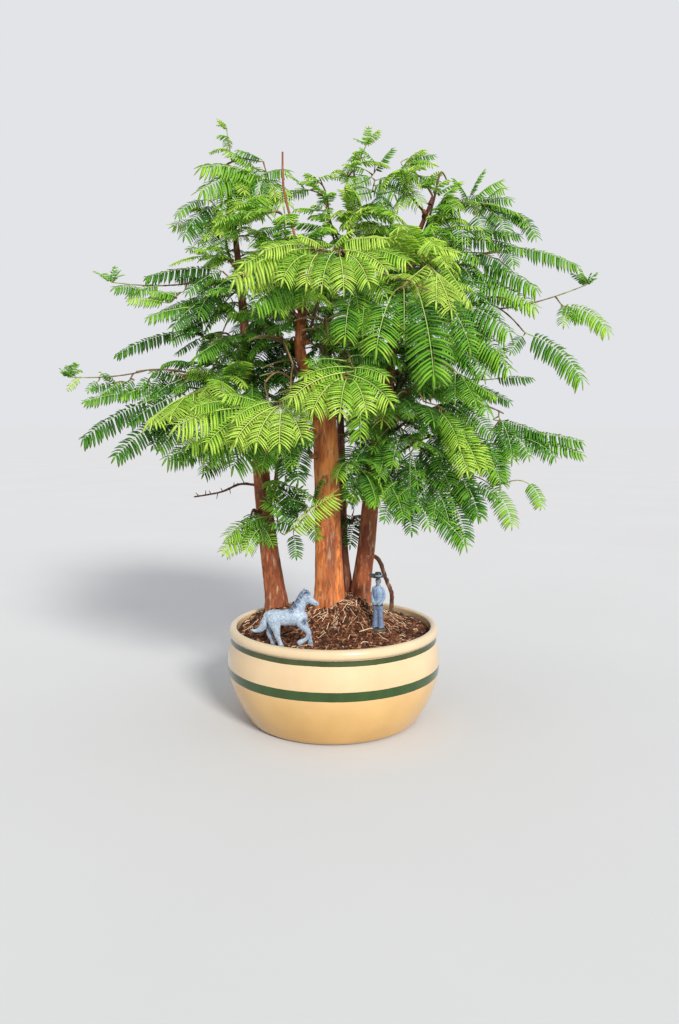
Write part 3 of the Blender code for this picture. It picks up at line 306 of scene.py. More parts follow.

# Fronds placed one by one, by trunk and shoot: base and tip as (x, y, z, x, y, z), bend in degrees, and
# width and youth in hundredths. A low youth gives an older, dark green frond; inside and under the crown
# it is also painted shade. The main tree's shoots in this table have no other fronds
PLACED = {
    "main": {
        1: [(-63, -104, 296, -126, -128, 280, 35, 24, 64), (-76, -100, 301, -111, -122, 296, 30, 26, 60),
            (-57, -106, 293, -100, -130, 266, 45, 27, 56), (-53, -104, 291, -79, -132, 265, 50, 30, 68),
            (-58, -98, 300, -89, -112, 307, 20, 30, 64), (-51, -88, 280, -83, -104, 246, 45, 30, 24),
            (-44, -84, 278, -58, -100, 247, 45, 30, 24), (-54, -88, 283, -104, -108, 257, 40, 27, 28),
            (-40, -80, 276, -34, -96, 248, 40, 32, 20), (-68, -94, 286, -118, -112, 266, 40, 26, 36)],
        2: [(-45, -118, 297, -74, -146, 270, 45, 30, 76), (-43, -118, 297, -58, -150, 267, 50, 31, 78),
            (-41, -118, 297, -40, -150, 266, 50, 31, 76), (-39, -118, 297, -23, -146, 271, 50, 31, 72),
            (-37, -116, 299, -12, -140, 291, 40, 31, 72), (-42, -114, 301, -16, -130, 306, 25, 30, 68),
            (-48, -116, 301, -77, -140, 286, 35, 27, 68), (-35, -96, 286, -21, -116, 266, 45, 31, 28),
            (-40, -96, 283, -44, -116, 259, 45, 31, 32)],
        3: [(11, -118, 324, -33, -140, 301, 40, 27, 60), (6, -122, 319, -15, -150, 292, 45, 30, 68),
            (11, -124, 318, 6, -152, 289, 50, 31, 68), (16, -124, 318, 26, -150, 292, 50, 31, 64),
            (14, -120, 322, 46, -142, 298, 40, 27, 60), (11, -112, 329, -25, -128, 319, 30, 27, 48),
            (16, -112, 328, 43, -130, 319, 35, 30, 44), (4, -104, 335, -21, -116, 332, 25, 30, 28),
            (16, -104, 338, 39, -118, 335, 25, 30, 24)],
        5: [(-12, -92, 425, -80, -116, 393, 45, 22, 68), (-17, -88, 428, -56, -108, 419, 30, 27, 64),
            (-26, -92, 422, -73, -112, 407, 35, 27, 64), (-20, -98, 419, -39, -122, 393, 50, 30, 68),
            (-12, -100, 419, -20, -126, 389, 50, 30, 64), (-19, -84, 404, -65, -104, 376, 45, 28, 40),
            (-27, -80, 404, -46, -100, 373, 50, 31, 36), (-17, -84, 401, -24, -104, 376, 50, 31, 32),
            (-9, -90, 427, -26, -104, 432, 25, 31, 68), (-35, -86, 415, -69, -106, 391, 45, 30, 56)],
        6: [(8, -104, 421, 43, -128, 400, 45, 26, 64), (6, -100, 427, 42, -118, 426, 30, 27, 72),
            (11, -106, 418, 28, -130, 390, 50, 30, 60), (6, -106, 416, 9, -132, 385, 50, 31, 56),
            (1, -102, 420, -8, -128, 387, 50, 31, 60), (1, -98, 425, 16, -108, 435, 25, 32, 68),
            (19, -104, 421, 60, -122, 408, 35, 26, 56), (13, -84, 404, 21, -104, 373, 50, 31, 28),
            (16, -88, 407, 44, -106, 385, 45, 30, 32)],
        9: [(69, -104, 388, 79, -132, 316, 28, 27, 34), (48, -100, 387, 34, -126, 338, 32, 31, 33),
            (16, -94, 392, 10, -116, 349, 36, 31, 27), (27, -90, 391, 24, -110, 356, 40, 31, 22),
            (58, -96, 391, 57, -114, 350, 40, 31, 20), (87, -100, 386, 109, -120, 340, 38, 27, 36)],
    },
    "left": {
        1: [(-120, -4, 328, -149, -14, 313, 35, 24, 20), (-144, -4, 324, -170, -12, 305, 35, 24, 18),
            (-196, 0, 322, -218, -8, 309, 30, 28, 30), (-159, 0, 327, -168, -8, 313, 50, 34, 20),
            (-173, 0, 326, -182, -8, 313, 50, 34, 23), (-188, 0, 324, -197, -8, 311, 50, 34, 26),
            (-222, 0, 323, -229, -8, 313, 50, 34, 30), (-201, 0, 323, -208, -4, 313, 50, 34, 26),
            (-212, 0, 324, -218, -4, 331, 30, 40, 30), (-180, -4, 314, -234, -12, 303, 15, 16, 30),
            (-209, 0, 321, -226, -6, 315, 20, 30, 26), (-205, 0, 322, -213, -4, 330, 10, 40, 20),
            (-163, 0, 320, -199, -10, 307, 25, 20, 20), (-148, 0, 321, -180, -12, 303, 35, 22, 17),
            (-135, 0, 326, -172, -4, 331, 20, 20, 17), (-239, 0, 326, -248, -6, 315, 40, 30, 72)],
        2: [(-170, -14, 305, -233, -26, 266, 22, 17, 17), (-146, -12, 309, -188, -24, 283, 25, 22, 15),
            (-133, -14, 305, -167, -30, 272, 35, 24, 13)],
        3: [(-128, -40, 283, -155, -54, 259, 35, 26, 25), (-120, -40, 278, -139, -54, 250, 40, 28, 12),
            (-146, -30, 294, -196, -52, 251, 20, 18, 13), (-100, -40, 268, -149, -56, 252, 25, 24, 33),
            (-136, -28, 294, -162, -46, 262, 30, 24, 10), (-98, -20, 253, -119, -34, 237, 35, 32, 7),
            (-108, -36, 269, -134, -52, 250, 35, 26, 23)],
        4: [(-144, 8, 406, -174, 0, 398, 25, 24, 35), (-162, 6, 412, -192, -2, 401, 30, 26, 40),
            (-178, 2, 407, -203, -8, 407, 40, 30, 40), (-157, -4, 395, -188, -14, 396, 25, 24, 43),
            (-131, -4, 391, -172, -14, 379, 20, 20, 40), (-110, 10, 428, -178, 4, 418, 25, 15, 23),
            (-104, 8, 425, -136, -4, 403, 40, 24, 23), (-119, -2, 398, -148, -14, 369, 35, 26, 23),
            (-98, 4, 417, -124, -12, 382, 45, 28, 23), (-146, 0, 401, -169, -8, 404, 30, 28, 36)],
        5: [(-104, 20, 405, -147, 10, 394, 25, 20, 20), (-127, 18, 402, -164, 8, 386, 25, 20, 25),
            (-113, 14, 389, -144, 4, 371, 35, 26, 20), (-61, 20, 359, -79, 6, 320, 45, 30, 3),
            (-48, 20, 354, -62, 6, 319, 45, 30, 2), (-69, 20, 365, -93, 8, 338, 40, 28, 4),
            (-42, 16, 361, -47, 4, 321, 45, 30, 2), (-55, 16, 338, -75, 2, 309, 45, 30, 3)],
        6: [(-123, 30, 496, -149, 20, 478, 40, 24, 33), (-114, 28, 490, -141, 14, 457, 45, 26, 26),
            (-108, 24, 474, -119, 6, 442, 45, 28, 23)],
        8: [(-68, 28, 532, -91, 22, 539, 20, 24, 30), (-64, 28, 512, -126, 10, 519, 50, 21, 40),
            (-72, 30, 523, -102, 18, 537, 30, 24, 36), (-68, 28, 515, -124, 6, 495, 55, 26, 36),
            (-68, 26, 517, -42, 14, 517, 40, 36, 33), (-68, 26, 513, -46, 6, 484, 60, 34, 46),
            (-73, 24, 514, -66, 2, 474, 60, 34, 46), (-79, 22, 506, -86, 0, 468, 60, 34, 40),
            (-62, 28, 510, -54, 4, 490, 50, 34, 64), (-83, 30, 516, -104, 10, 481, 60, 32, 33),
            (-78, 32, 526, -67, 18, 512, 40, 36, 40)],
        10: [(-29, -50, 278, -45, -60, 243, 45, 30, 5), (-36, -50, 280, -59, -60, 250, 45, 30, 6),
             (-24, -46, 269, -31, -56, 232, 45, 30, 4), (-47, -46, 273, -42, -54, 236, 45, 30, 6)],
        11: [(-63, 0, 192, -100, -24, 178, 40, 27, 30), (-68, -6, 186, -57, -24, 170, 45, 32, 33),
             (-79, -14, 176, -102, -28, 164, 50, 34, 64), (-71, -14, 184, -80, -32, 165, 50, 34, 43),
             (-61, 2, 194, -82, -20, 190, 35, 29, 26)],
        12: [(-41, -22, 184, 3, -34, 220, 18, 24, 81), (-32, -12, 191, -65, -16, 212, 35, 29, 13),
             (-27, -14, 201, -58, -6, 225, 30, 29, 10), (-20, -18, 208, -10, -24, 234, 25, 27, 13),
             (-35, -14, 187, -59, -20, 190, 50, 32, 10), (-38, -12, 180, -35, -20, 158, 35, 36, 8),
             (-26, -16, 195, -14, -26, 176, 40, 32, 10), (-46, -4, 192, -32, 6, 222, 20, 32, 7),
             (-22, -20, 205, -43, -30, 214, 45, 32, 13)],
        14: [(-145, 8, 370, -206, 0, 346, 25, 14, 13), (-122, 6, 379, -152, -6, 359, 35, 24, 13)],
    },
    "right": {
        1: [(126, -4, 406, 153, -14, 380, 35, 26, 16), (119, -6, 397, 140, -18, 359, 40, 27, 14),
            (140, -2, 401, 172, -10, 391, 20, 20, 18), (181, -6, 366, 231, -16, 320, 45, 24, 36),
            (177, -4, 365, 163, -14, 348, 30, 30, 26), (151, -6, 325, 186, -12, 325, 14, 18, 13),
            (145, 0, 337, 160, -6, 355, 20, 26, 20), (119, -4, 320, 154, -14, 307, 35, 24, 10),
            (128, -4, 315, 166, -12, 302, 30, 20, 8), (114, 0, 324, 134, -16, 294, 45, 28, 12),
            (109, -12, 396, 161, -30, 362, 35, 25, 23), (107, -12, 380, 155, -30, 339, 40, 25, 23),
            (113, -12, 365, 162, -26, 330, 35, 24, 23), (107, -16, 355, 137, -34, 324, 45, 28, 20),
            (102, -16, 373, 123, -34, 338, 45, 29, 17), (217, 0, 392, 254, -12, 365, 60, 25, 36),
            (219, 0, 394, 212, -12, 374, 40, 34, 36), (213, 0, 391, 228, -8, 377, 50, 34, 33)],
        2: [(109, 6, 457, 154, 0, 447, 20, 20, 16), (99, 4, 453, 135, -4, 431, 35, 26, 18),
            (127, 8, 461, 175, 2, 456, 20, 18, 20), (170, 8, 447, 230, 4, 428, 25, 16, 17),
            (141, 8, 454, 178, 0, 441, 25, 20, 17), (127, 4, 442, 162, -8, 422, 45, 26, 23),
            (136, 2, 431, 190, -8, 404, 30, 21, 26), (132, 0, 414, 188, -12, 387, 35, 21, 30),
            (127, 2, 424, 161, -6, 406, 30, 25, 20), (114, 4, 433, 132, -14, 396, 50, 30, 20),
            (156, 8, 450, 166, -6, 427, 50, 30, 17)],
        3: [(154, -20, 287, 162, -36, 249, 45, 27, 14), (144, -24, 269, 151, -40, 227, 45, 27, 18),
            (113, -20, 301, 144, -34, 272, 35, 26, 14), (98, -20, 305, 129, -34, 281, 35, 26, 10),
            (89, -20, 287, 116, -40, 269, 40, 28, 13), (65, -20, 278, 53, -40, 244, 45, 28, 12),
            (116, -24, 279, 141, -44, 242, 40, 27, 17), (58, -16, 283, 35, -34, 258, 45, 28, 10),
            (173, -18, 271, 233, -24, 254, 12, 14, 23), (171, -16, 276, 232, -22, 266, 15, 17, 33),
            (149, -14, 287, 196, -20, 272, 20, 20, 23), (176, -20, 270, 204, -30, 251, 45, 26, 30),
            (146, -20, 278, 166, -36, 253, 50, 28, 17), (134, -26, 269, 150, -46, 230, 45, 28, 20),
            (122, -26, 272, 126, -44, 240, 45, 28, 13), (160, -18, 278, 179, -32, 252, 50, 28, 23),
            (98, -22, 278, 110, -42, 249, 45, 28, 10), (110, -20, 276, 96, -44, 242, 45, 28, 10),
            (80, -26, 263, 104, -50, 227, 45, 28, 13), (70, -26, 259, 76, -46, 226, 45, 28, 13)],
        4: [(79, -30, 261, 96, -48, 223, 45, 27, 8), (97, -30, 260, 123, -48, 215, 40, 27, 10),
            (111, -36, 242, 130, -52, 198, 40, 25, 12), (70, -30, 254, 69, -46, 215, 45, 28, 8),
            (125, -30, 269, 150, -46, 233, 40, 27, 14), (102, -40, 224, 118, -56, 179, 30, 26, 14),
            (110, -34, 231, 132, -50, 199, 40, 27, 40), (144, -36, 227, 161, -48, 191, 40, 27, 40),
            (176, -40, 230, 187, -46, 208, 60, 32, 43), (83, -36, 231, 56, -50, 216, 40, 28, 36),
            (97, -36, 229, 90, -54, 200, 45, 28, 17), (90, -34, 231, 72, -52, 205, 45, 28, 20),
            (122, -30, 232, 110, -46, 210, 45, 28, 20), (130, -34, 229, 150, -44, 215, 30, 28, 23)],
        5: [(54, -24, 269, 42, -40, 233, 45, 28, 6), (61, -36, 234, 64, -50, 196, 45, 28, 14),
            (88, -40, 233, 104, -56, 191, 35, 26, 20), (50, -24, 241, 57, -44, 208, 45, 28, 13),
            (43, -20, 241, 21, -36, 218, 45, 28, 17), (92, -52, 203, 118, -64, 175, 30, 28, 26),
            (65, -40, 215, 70, -56, 186, 40, 27, 17), (57, -36, 218, 46, -50, 196, 45, 28, 17),
            (61, -32, 232, 42, -44, 215, 45, 28, 30), (73, -40, 218, 86, -56, 191, 40, 28, 20),
            (78, -44, 215, 102, -56, 198, 35, 26, 13), (54, -28, 234, 30, -42, 213, 45, 28, 30)],
        6: [(78, -30, 349, 80, -52, 308, 45, 28, 12)],
        7: [(131, 12, 491, 155, 0, 505, 35, 27, 33), (135, 12, 487, 164, -2, 487, 40, 27, 33),
            (127, 12, 493, 139, 4, 515, 25, 27, 33), (126, 12, 491, 111, 4, 508, 25, 28, 30),
            (137, 10, 485, 152, -8, 466, 45, 29, 26), (124, 12, 487, 102, 0, 488, 35, 27, 26),
            (142, 10, 490, 157, -6, 496, 50, 34, 40)],
        8: [(118, 6, 473, 117, -14, 445, 50, 34, 30), (132, 6, 477, 137, -12, 449, 50, 34, 33),
            (145, 6, 480, 157, -10, 453, 50, 34, 33), (155, 6, 478, 179, -4, 464, 50, 29, 33),
            (166, 6, 478, 187, -2, 453, 50, 30, 30), (104, 4, 471, 95, -18, 444, 50, 34, 30)],
        9: [(97, -60, 295, 124, -84, 244, 25, 24, 66), (93, -60, 294, 107, -84, 263, 40, 27, 61),
            (103, -64, 283, 132, -82, 244, 30, 25, 46), (98, -66, 278, 114, -86, 241, 35, 27, 61)],
        11: [(36, -20, 268, 17, -34, 240, 45, 30, 6), (30, -20, 243, 13, -34, 212, 45, 30, 8),
             (21, -10, 264, 12, -20, 231, 45, 30, 4), (34, -24, 232, 17, -40, 215, 50, 34, 36),
             (36, -26, 230, 37, -42, 209, 55, 34, 40), (43, -24, 234, 59, -36, 222, 40, 29, 33),
             (30, -20, 233, 9, -28, 226, 35, 27, 30)],
        12: [(66, 20, 529, 95, 14, 531, 20, 22, 30), (70, 20, 515, 99, 12, 507, 25, 24, 28)],
    },
    "rear": {
        1: [(39, 30, 521, 56, 26, 542, 15, 26, 30), (31, 30, 523, 10, 24, 527, 25, 26, 30),
            (38, 30, 532, 25, 26, 542, 20, 28, 30)],
        5: [(36, 20, 502, 17, -4, 490, 50, 32, 40), (38, 20, 506, 57, -4, 490, 50, 32, 40),
            (40, 20, 511, 72, 2, 497, 50, 29, 36), (36, 22, 514, 12, 2, 502, 45, 29, 33),
            (44, 16, 496, 46, -8, 471, 50, 34, 40), (61, 18, 501, 81, -2, 483, 50, 32, 40)],
        6: [(18, 34, 192, 9, 18, 182, 35, 36, 10), (20, 34, 199, 13, 20, 219, 30, 36, 10),
            (22, 30, 188, 16, 20, 163, 35, 36, 13)],
    },
}

# Shoots whose fronds, apart from the placed ones, are shorter than their solids by this share
SHORTER = {
    "left": {1: 0.76, 4: 0.80, 5: 0.82, 6: 0.76, 7: 0.66, 8: 0.6}, "main": {7: 0.9},
    "right": {1: 0.78, 2: 0.85, 3: 0.72, 6: 0.82, 7: 0.72, 8: 0.85, 10: 0.9, 12: 0.72, 16: 0.82},
    "rear": {1: 0.72, 5: 0.72, 9: 0.64, 10: 0.7}}

# Shoots that have only placed fronds beyond this share of their twig
CLEARED = {"left": {1: 0.5, 2: 0.4, 3: 0.46, 4: 0.48, 5: 0.62, 13: 0.8, 14: 0.8},
           "right": {1: 0.46, 2: 0.6, 3: 0.5, 4: 0.45, 5: 0.45, 6: 0.6, 7: 0.8, 9: 0.7}}

# Airy shoots keep this share of their grown fronds
AIRY = {"left": {2: 0.75, 4: 0.6, 5: 0.7, 6: 0.7, 7: 0.66, 8: 0.75, 13: 0.6, 14: 0.6},
        "right": {1: 0.85, 2: 0.8, 3: 0.85, 8: 0.7, 12: 0.8, 16: 0.8},
        "rear": {1: 0.8, 5: 0.8, 9: 0.6, 10: 0.7}}

# Fronds that hang below a shoot's twig: from share, to share, count, length and hang in degrees
HANGING = {
    "left": {1: (0.35, 1.0, 14, 34, 60), 2: (0.4, 1.0, 9, 34, 60), 3: (0.2, 1.0, 14, 40, 62),
             4: (0.2, 1.0, 14, 38, 60), 5: (0.4, 1.0, 7, 30, 55), 6: (0.2, 1.0, 8, 32, 60),
             7: (0.2, 1.0, 8, 30, 60)},
    "right": {1: (0.45, 0.98, 14, 44, 60), 2: (0.5, 0.95, 8, 30, 55), 3: (0.38, 1.0, 18, 46, 62),
              6: (0.4, 1.0, 11, 38, 60), 7: (0.4, 1.0, 10, 32, 60), 8: (0.4, 1.0, 8, 32, 55),
              16: (0.2, 0.9, 6, 30, 55)},
    "rear": {8: (0.3, 1.0, 5, 28, 55), 9: (0.3, 1.0, 5, 28, 55)}}
HANGING_TURN = (-155, -25)
HANGING_PITCH = (-42, -2)
HANGING_BENDS = (0.9, 1.35)
HANGING_LENGTHS = (0.75, 1.1)

# Tufts of short upright fronds: on the leaders' tips, and on thin twigs of their own, which leave
# the shoot's twig at a share of it and end at a tip
TUFT_LEADERS = (("left", 8), ("rear", 1), ("right", 12))
TUFT_TWIGS = {"left": {1: (0.9, (-250, 0, 327)), 4: (0.85, (-206, 0, 414)), 8: (0.55, (-101, 30, 560))},
              "right": {1: (0.86, (234, -4, 411))}, "rear": {1: (0.6, (31, 30, 546))}}
TUFT_FRONDS = 7
TUFT_LENGTH = (11.0, 18.0)
TUFT_PITCH = (28, 56)
TUFT_RISE = 36
TUFT_BEND = (0.2, 0.9)
TUFT_PAIRS = (0.45, 0.75)
TUFT_PAIR_LENGTH = (14, 22)
LEADER_LEAN = 0.9
LEADER_SHARE = 0.72

# High in the crown the small fronds stand up, and everywhere they roll to either side
LIFT_FROM = (395.0, 520.0)
LIFT_MOST = 34.0
LIFT_VARIES = (0.3, 1.2)
STEEPEST = 1.3
ROLL_MOST = 30.0
PLACED_DROOP = (0.28, 0.62)
FACING_ROLLS = (-48.0, -24.0, 0.0, 24.0, 48.0)

# Where the small fronds may grow: near their shoot's solid, outside the windows to the forks as (x, y, z)
# ranges, and not in front of a trunk, as x range and height, nearer to the front than a place in y
BELOW_SOLID = 6.0
BESIDE_SOLID = 12.0
WINDOWS = (((-58.0, -16.0), (-160.0, -16.0), (318.0, 378.0)), ((-57.0, -30.0), (-160.0, 4.0), (462.0, 545.0)))
OPEN_FRONT = ((-36.0, 24.0, 302.0), (-92.0, -36.0, 214.0), (24.0, 66.0, 206.0))
OPEN_BEFORE = 24.0

# How young and yellow a shoot's fronds are, where it isn't the usual share
YOUTH = 0.38
YOUNG_SHOOTS = {
    "main": {7: 0.60, 8: 0.60, 10: 0.30},
    "left": {3: 0.45, 4: 0.46, 6: 0.66, 7: 0.70, 8: 0.70, 9: 0.80, 12: 0.70},
    "right": {2: 0.46, 5: 0.50, 7: 0.60, 8: 0.54, 9: 0.28, 10: 0.30, 12: 0.70, 15: 0.80, 16: 0.70},
    "rear": {1: 0.72, 5: 0.68, 7: 0.50, 8: 0.72, 9: 0.68, 10: 0.60}}
YOUTH_VARIES = (-0.13, 0.15)
# Youth rises towards the front and the top of the crown: painted light on the fronds that face the lamp and
# painted shade on those at the back, as well as younger growth high in the crown
YOUNG_AND_LIT_TO_FRONT = (0, 120)
YOUNG_AND_LIT_TO_TOP = (330, 530)
WORN_SHARES = (0.004, 0.06)

# Toys: how many sides their round parts have
LIMB_SIDES = 20
BALL_SIDES = 18
HAT_SIDES = 48

# Horse: limbs of (side, width share, rows of (x, z, radius)) in planes along X, its mane's line as
# (x, z), and dark spots of place and size. The tail is the limb in TAIL. A forelock has rows of
# (x, lean, z, radius, lift of every second one)
HORSE_PLANE = -57.0
HORSE_TRACK = 3.5
HORSE_LIMBS = [
    (0, 0.80, [(-60.6, 109.6, 2.6), (-57.4, 110.6, 6.2), (-51.5, 110.3, 7.1), (-45, 109.9, 7.4),
               (-38, 110.4, 7.9), (-32, 110.5, 7.8), (-29.2, 110.2, 6.4)]),
    (0, 0.60, [(-34.2, 112.5, 7.0), (-31.2, 118.0, 6.2), (-28.6, 124.5, 4.9), (-26.2, 130.2, 4.0)]),
    (0, 0.66, [(-27.2, 130.9, 3.5), (-23.4, 127.6, 4.5), (-19.6, 125.6, 3.3), (-16.4, 123.5, 2.5),
               (-14.8, 122.7, 2.3)]),
    (0, 0.85, [(-59.6, 113.4, 2.0), (-61.6, 106.5, 3.4), (-64.2, 100.6, 3.2), (-69, 97.9, 2.1),
               (-73.8, 98.8, 0.6)]),
    (-1, 0.72, [(-53.2, 108.6, 6.2), (-52.2, 104.0, 5.2), (-50.9, 99.0, 3.7), (-50.2, 93.8, 2.7),
                (-48.2, 88.8, 2.1), (-47.2, 86.0, 2.4), (-46.6, 83.6, 2.8), (-46.6, 81.6, 2.9)]),
    (1, 0.72, [(-54.5, 108.4, 6.0), (-55.6, 103.0, 4.8), (-57.4, 98.0, 3.4), (-58.0, 94.0, 2.5),
               (-55.9, 89.0, 2.0), (-55.0, 86.0, 2.3), (-54.6, 83.6, 2.7), (-54.6, 81.6, 2.8)]),
    (-1, 0.72, [(-30.0, 108.4, 5.2), (-27.4, 103.2, 4.0), (-23.2, 99.0, 2.9), (-21.9, 95.2, 2.5),
                (-24.0, 91.6, 1.9), (-27.0, 89.6, 2.1), (-29.0, 88.4, 2.5), (-30.2, 87.8, 2.5)]),
    (1, 0.72, [(-29.5, 108.0, 5.0), (-25.6, 101.0, 3.4), (-22.4, 94.5, 2.5), (-21.0, 89.2, 1.9),
               (-20.8, 86.4, 2.3), (-20.6, 83.8, 2.8), (-20.6, 81.6, 2.9)]),
]
TAIL = 3
TAIL_STRANDS = 7
HORSE_EAR = [(-27.0, 0.0, 132.4, 1.2), (-26.6, 0.4, 134.8, 1.0), (-26.0, 0.5, 137.0, 0.45)]
EAR_SPREAD = 1.7
HORSE_CREST = [(-38.0, 118.6), (-35.2, 122.6), (-32.6, 127.0), (-30.2, 131.2), (-27.2, 134.4)]
MANE_TUFTS = 26
FORELOCKS = 5
FORELOCK = [(-27.0, 0.0, 134.2, 0.9, 0.0), (-23.2, 0.0, 134.0, 0.8, 0.4), (-20.6, 0.2, 131.6, 0.45, 0.0)]
HORSE_MIDDLE = (-42.0, HORSE_PLANE, 110.0)
HORSE_VOXEL = 0.45
HOOF_TOP = (86.2, 85.0)
HORSE_COLOURS = {"coat": (0.35, 0.42, 0.50), "dark": (0.028, 0.048, 0.12), "hoof": (0.16, 0.20, 0.27)}
HORSE_DARK = [((-22.4, -3.6, 128.6), 1.1), ((-15.2, -1.8, 123.4), 0.7), ((-25.5, -5.8, 107.6), 2.6),
              ((-24.0, 0.0, 133.6), 3.4), ((-19.6, 0.0, 84.0), 2.8)]

# Toy man, about its own axis: limbs of (side, width share, rows of (x, y, z, radius)), where side 1 is
# made for both sides, the head as balls of place and radii, and turned lines of (radius, height)
MAN_PLACE = (42.0, -24.0, 0.0)
MAN_TURN = -26.0
MAN_VOXEL = 0.34
HEAD_VOXEL = 0.204
MAN_LIMBS = [
    (0, 0.62, [(0, 0, 112.0, 4.2), (0, 0, 115.6, 4.9), (0, 0, 119.5, 4.3), (0, 0, 125.0, 5.0),
               (0, 0, 129.2, 5.1), (0, 0, 131.4, 3.0)]),
    (0, 0.95, [(0, -0.1, 130.0, 1.7), (0, -0.3, 134.5, 1.6)]),
    (1, 0.9, [(4.2, 0, 129.6, 1.9), (5.5, 0.6, 125.6, 1.7), (6.0, 0.4, 121.8, 1.5), (4.8, -1.8, 118.2, 1.3),
              (3.2, -3.3, 115.9, 1.2), (2.2, -3.7, 115.2, 1.3)]),
    (1, 0.85, [(2.1, 0, 113.6, 2.9), (2.3, 0, 107.0, 2.6), (2.6, -0.1, 100.0, 2.5), (2.9, -0.2, 94.5, 3.1),
               (3.0, -0.3, 92.6, 3.3)]),
    (1, 0.9, [(2.9, 0.6, 92.4, 1.5), (3.2, -3.4, 92.2, 1.3)]),
]
MAN_BALLS = [((0, -0.3, 137.4), (2.45, 2.85, 3.3)), ((0, -0.9, 135.2), (1.85, 2.1, 1.9)),
             ((0, -3.15, 136.9), (0.42, 0.55, 0.85)), ((0, -2.75, 138.2), (1.7, 0.5, 0.45)),
             ((0, -2.75, 135.3), (0.85, 0.42, 0.28)), ((0, -2.55, 134.0), (0.9, 0.6, 0.55)),
             ((2.45, 0.0, 136.9), (0.45, 0.7, 0.95)), ((-2.45, 0.0, 136.9), (0.45, 0.7, 0.95)),
             ((0, 1.2, 136.6), (2.4, 2.2, 3.0))]
MAN_EYE = (0.95, -2.75, 137.5)
EYE_SIZE = 0.5
MAN_TURNED = {
    "hat": [(0.0, 144.9), (1.2, 145.3), (2.6, 145.2), (3.1, 144.4), (3.4, 142.4), (3.6, 141.4), (5.6, 141.3),
            (7.6, 141.9), (8.3, 142.3), (8.4, 141.9), (7.6, 141.3), (5.6, 140.7), (3.0, 140.6), (0.0, 140.6)],
    "band": [(0, 142.8), (3.45, 142.7), (3.62, 141.7), (0, 141.6)],
    "base": [(0, 92.0), (6.6, 92.0), (7.2, 91.3), (7.2, 88.4), (0, 88.4)]}
BRIM_RADIUS = 8.3
BRIM_LIFT = 0.9
# The skin colour is a dark grey: on the face and neck it is painted shade under the hat's brim, and the hands
# share it
MAN_COLOURS = {"jacket": (0.24, 0.33, 0.45), "trousers": (0.15, 0.20, 0.31), "skin": (0.20, 0.22, 0.25),
               "belt": (0.025, 0.032, 0.05), "hat": (0.022, 0.028, 0.038), "band": (0.28, 0.33, 0.33),
               "base": (0.08, 0.06, 0.035)}

# The man's paint over the jacket, later rows over earlier ones: colour, half width, y range and z range
ALL = 999.0
MAN_PAINT = (
    ("trousers", ALL, (-ALL, ALL), (-ALL, 113.6)), ("belt", ALL, (-3.2, ALL), (113.4, 115.2)),
    ("skin", ALL, (-ALL, ALL), (132.3, ALL)), ("skin", 3.4, (-ALL, -2.9), (113.6, 117.2)),
    ("belt", ALL, (0.6, ALL), (136.0, ALL)), ("belt", ALL, (-ALL, ALL), (-ALL, 93.0)),
    ("trousers", 0.28, (-ALL, -2.0), (116.0, 130.5)))

# Studio: the camera, an even pale surround, a sun, and a floor that takes its tone from the surround
CAMERA_PLACE = (0.0057, -0.753, 0.2837)
CAMERA_TILT = 83.6
CAMERA_LENS = 27.77
CAMERA_SENSOR = 36.0
SURROUND = (0.765, 0.775, 0.800)
SUN_WAY = (-0.62, 1.35, -0.82)
SUN_STRENGTH = 3.7
SUN_WIDTH = 14.0
SUN_COLOUR = (1.0, 0.97, 0.92)
FLOOR_RADIUS = 60.0
FLOOR_SIDES = 96
FLOOR_DROP = 0.0002


@dataclass
class Frond:
    """A frond, whose rib is an arc in an upright plane, with angles in radians."""
    base: Vector
    heading: float
    pitch: float
    bend: float
    length: float
    width: float
    roll: float
    droop: float
    young_and_shade: float = None

    def at(self, share):
        """Place, direction, side and face normal on the rib."""
        here = self.pitch - self.bend * share
        out = self.length * (sin(self.pitch) - sin(here)) / self.bend
        rise = self.length * (cos(here) - cos(self.pitch)) / self.bend
        flat = Vector((cos(self.heading), sin(self.heading), 0.0))
        along = flat * cos(here) + UP * sin(here)
        level = Vector((sin(self.heading), -cos(self.heading), 0.0))
        normal = level.cross(along)
        side = level * cos(self.roll) + normal * sin(self.roll)
        return self.base + flat * out + UP * rise, along, side, side.cross(along)

    def half_width(self, share):
        """Reach of the leaflets to each side in the solids, widest a third of the way along."""
        place = min(1.0, SWELL_START + (1 - SWELL_START) * share)
        swell = sin(pi * place ** SWELL_SKEW) ** SWELL_FULLNESS
        return self.width * max(TIP_WIDTH_SHARE, swell)

    def bounds(self):
        """The middle and the reach of the space round the frond."""
        return self.at(0.55)[0], self.length * 0.6


@dataclass
class Shoot:
    """A leafy shoot: its trunk's centre and radius, its twigs with knots and radii, fronds and sprigs."""
    centre: Vector
    radius: float
    twigs: list
    fronds: list
    sprigs: list


def share_of(value, low, high):
    """How far a value is on its way from low to high, from 0 to 1."""
    return max(0.0, min(1.0, (value - low) / (high - low)))


def setting(table, key, usual=None):
    """A shoot's value in a table by trunk and number."""
    return table.get(key[0], {}).get(key[1], usual)


def soil_height(x, y):
    """Height of the soil's surface in the solids."""
    height = SOIL_EDGE_HEIGHT
    for cx, cy, sx, sy, rise in SOIL_MOUNDS:
        height += rise * exp(-((x - cx) / sx) ** 2 - ((y - cy) / sy) ** 2)
    return height + SOIL_BUMP * sin(x * 0.16 + 1.0) * cos(y * 0.19)


def trunk_at(curve, height):
    """The centre and radius of a trunk at a height."""
    for low, high in zip(curve, curve[1:]):
        if low[2] <= height <= high[2]:
            spot = low.lerp(high, (height - low[2]) / (high[2] - low[2]))
            return Vector(spot[:3]), spot[3]
    return Vector(curve[-1][:3]), curve[-1][3]


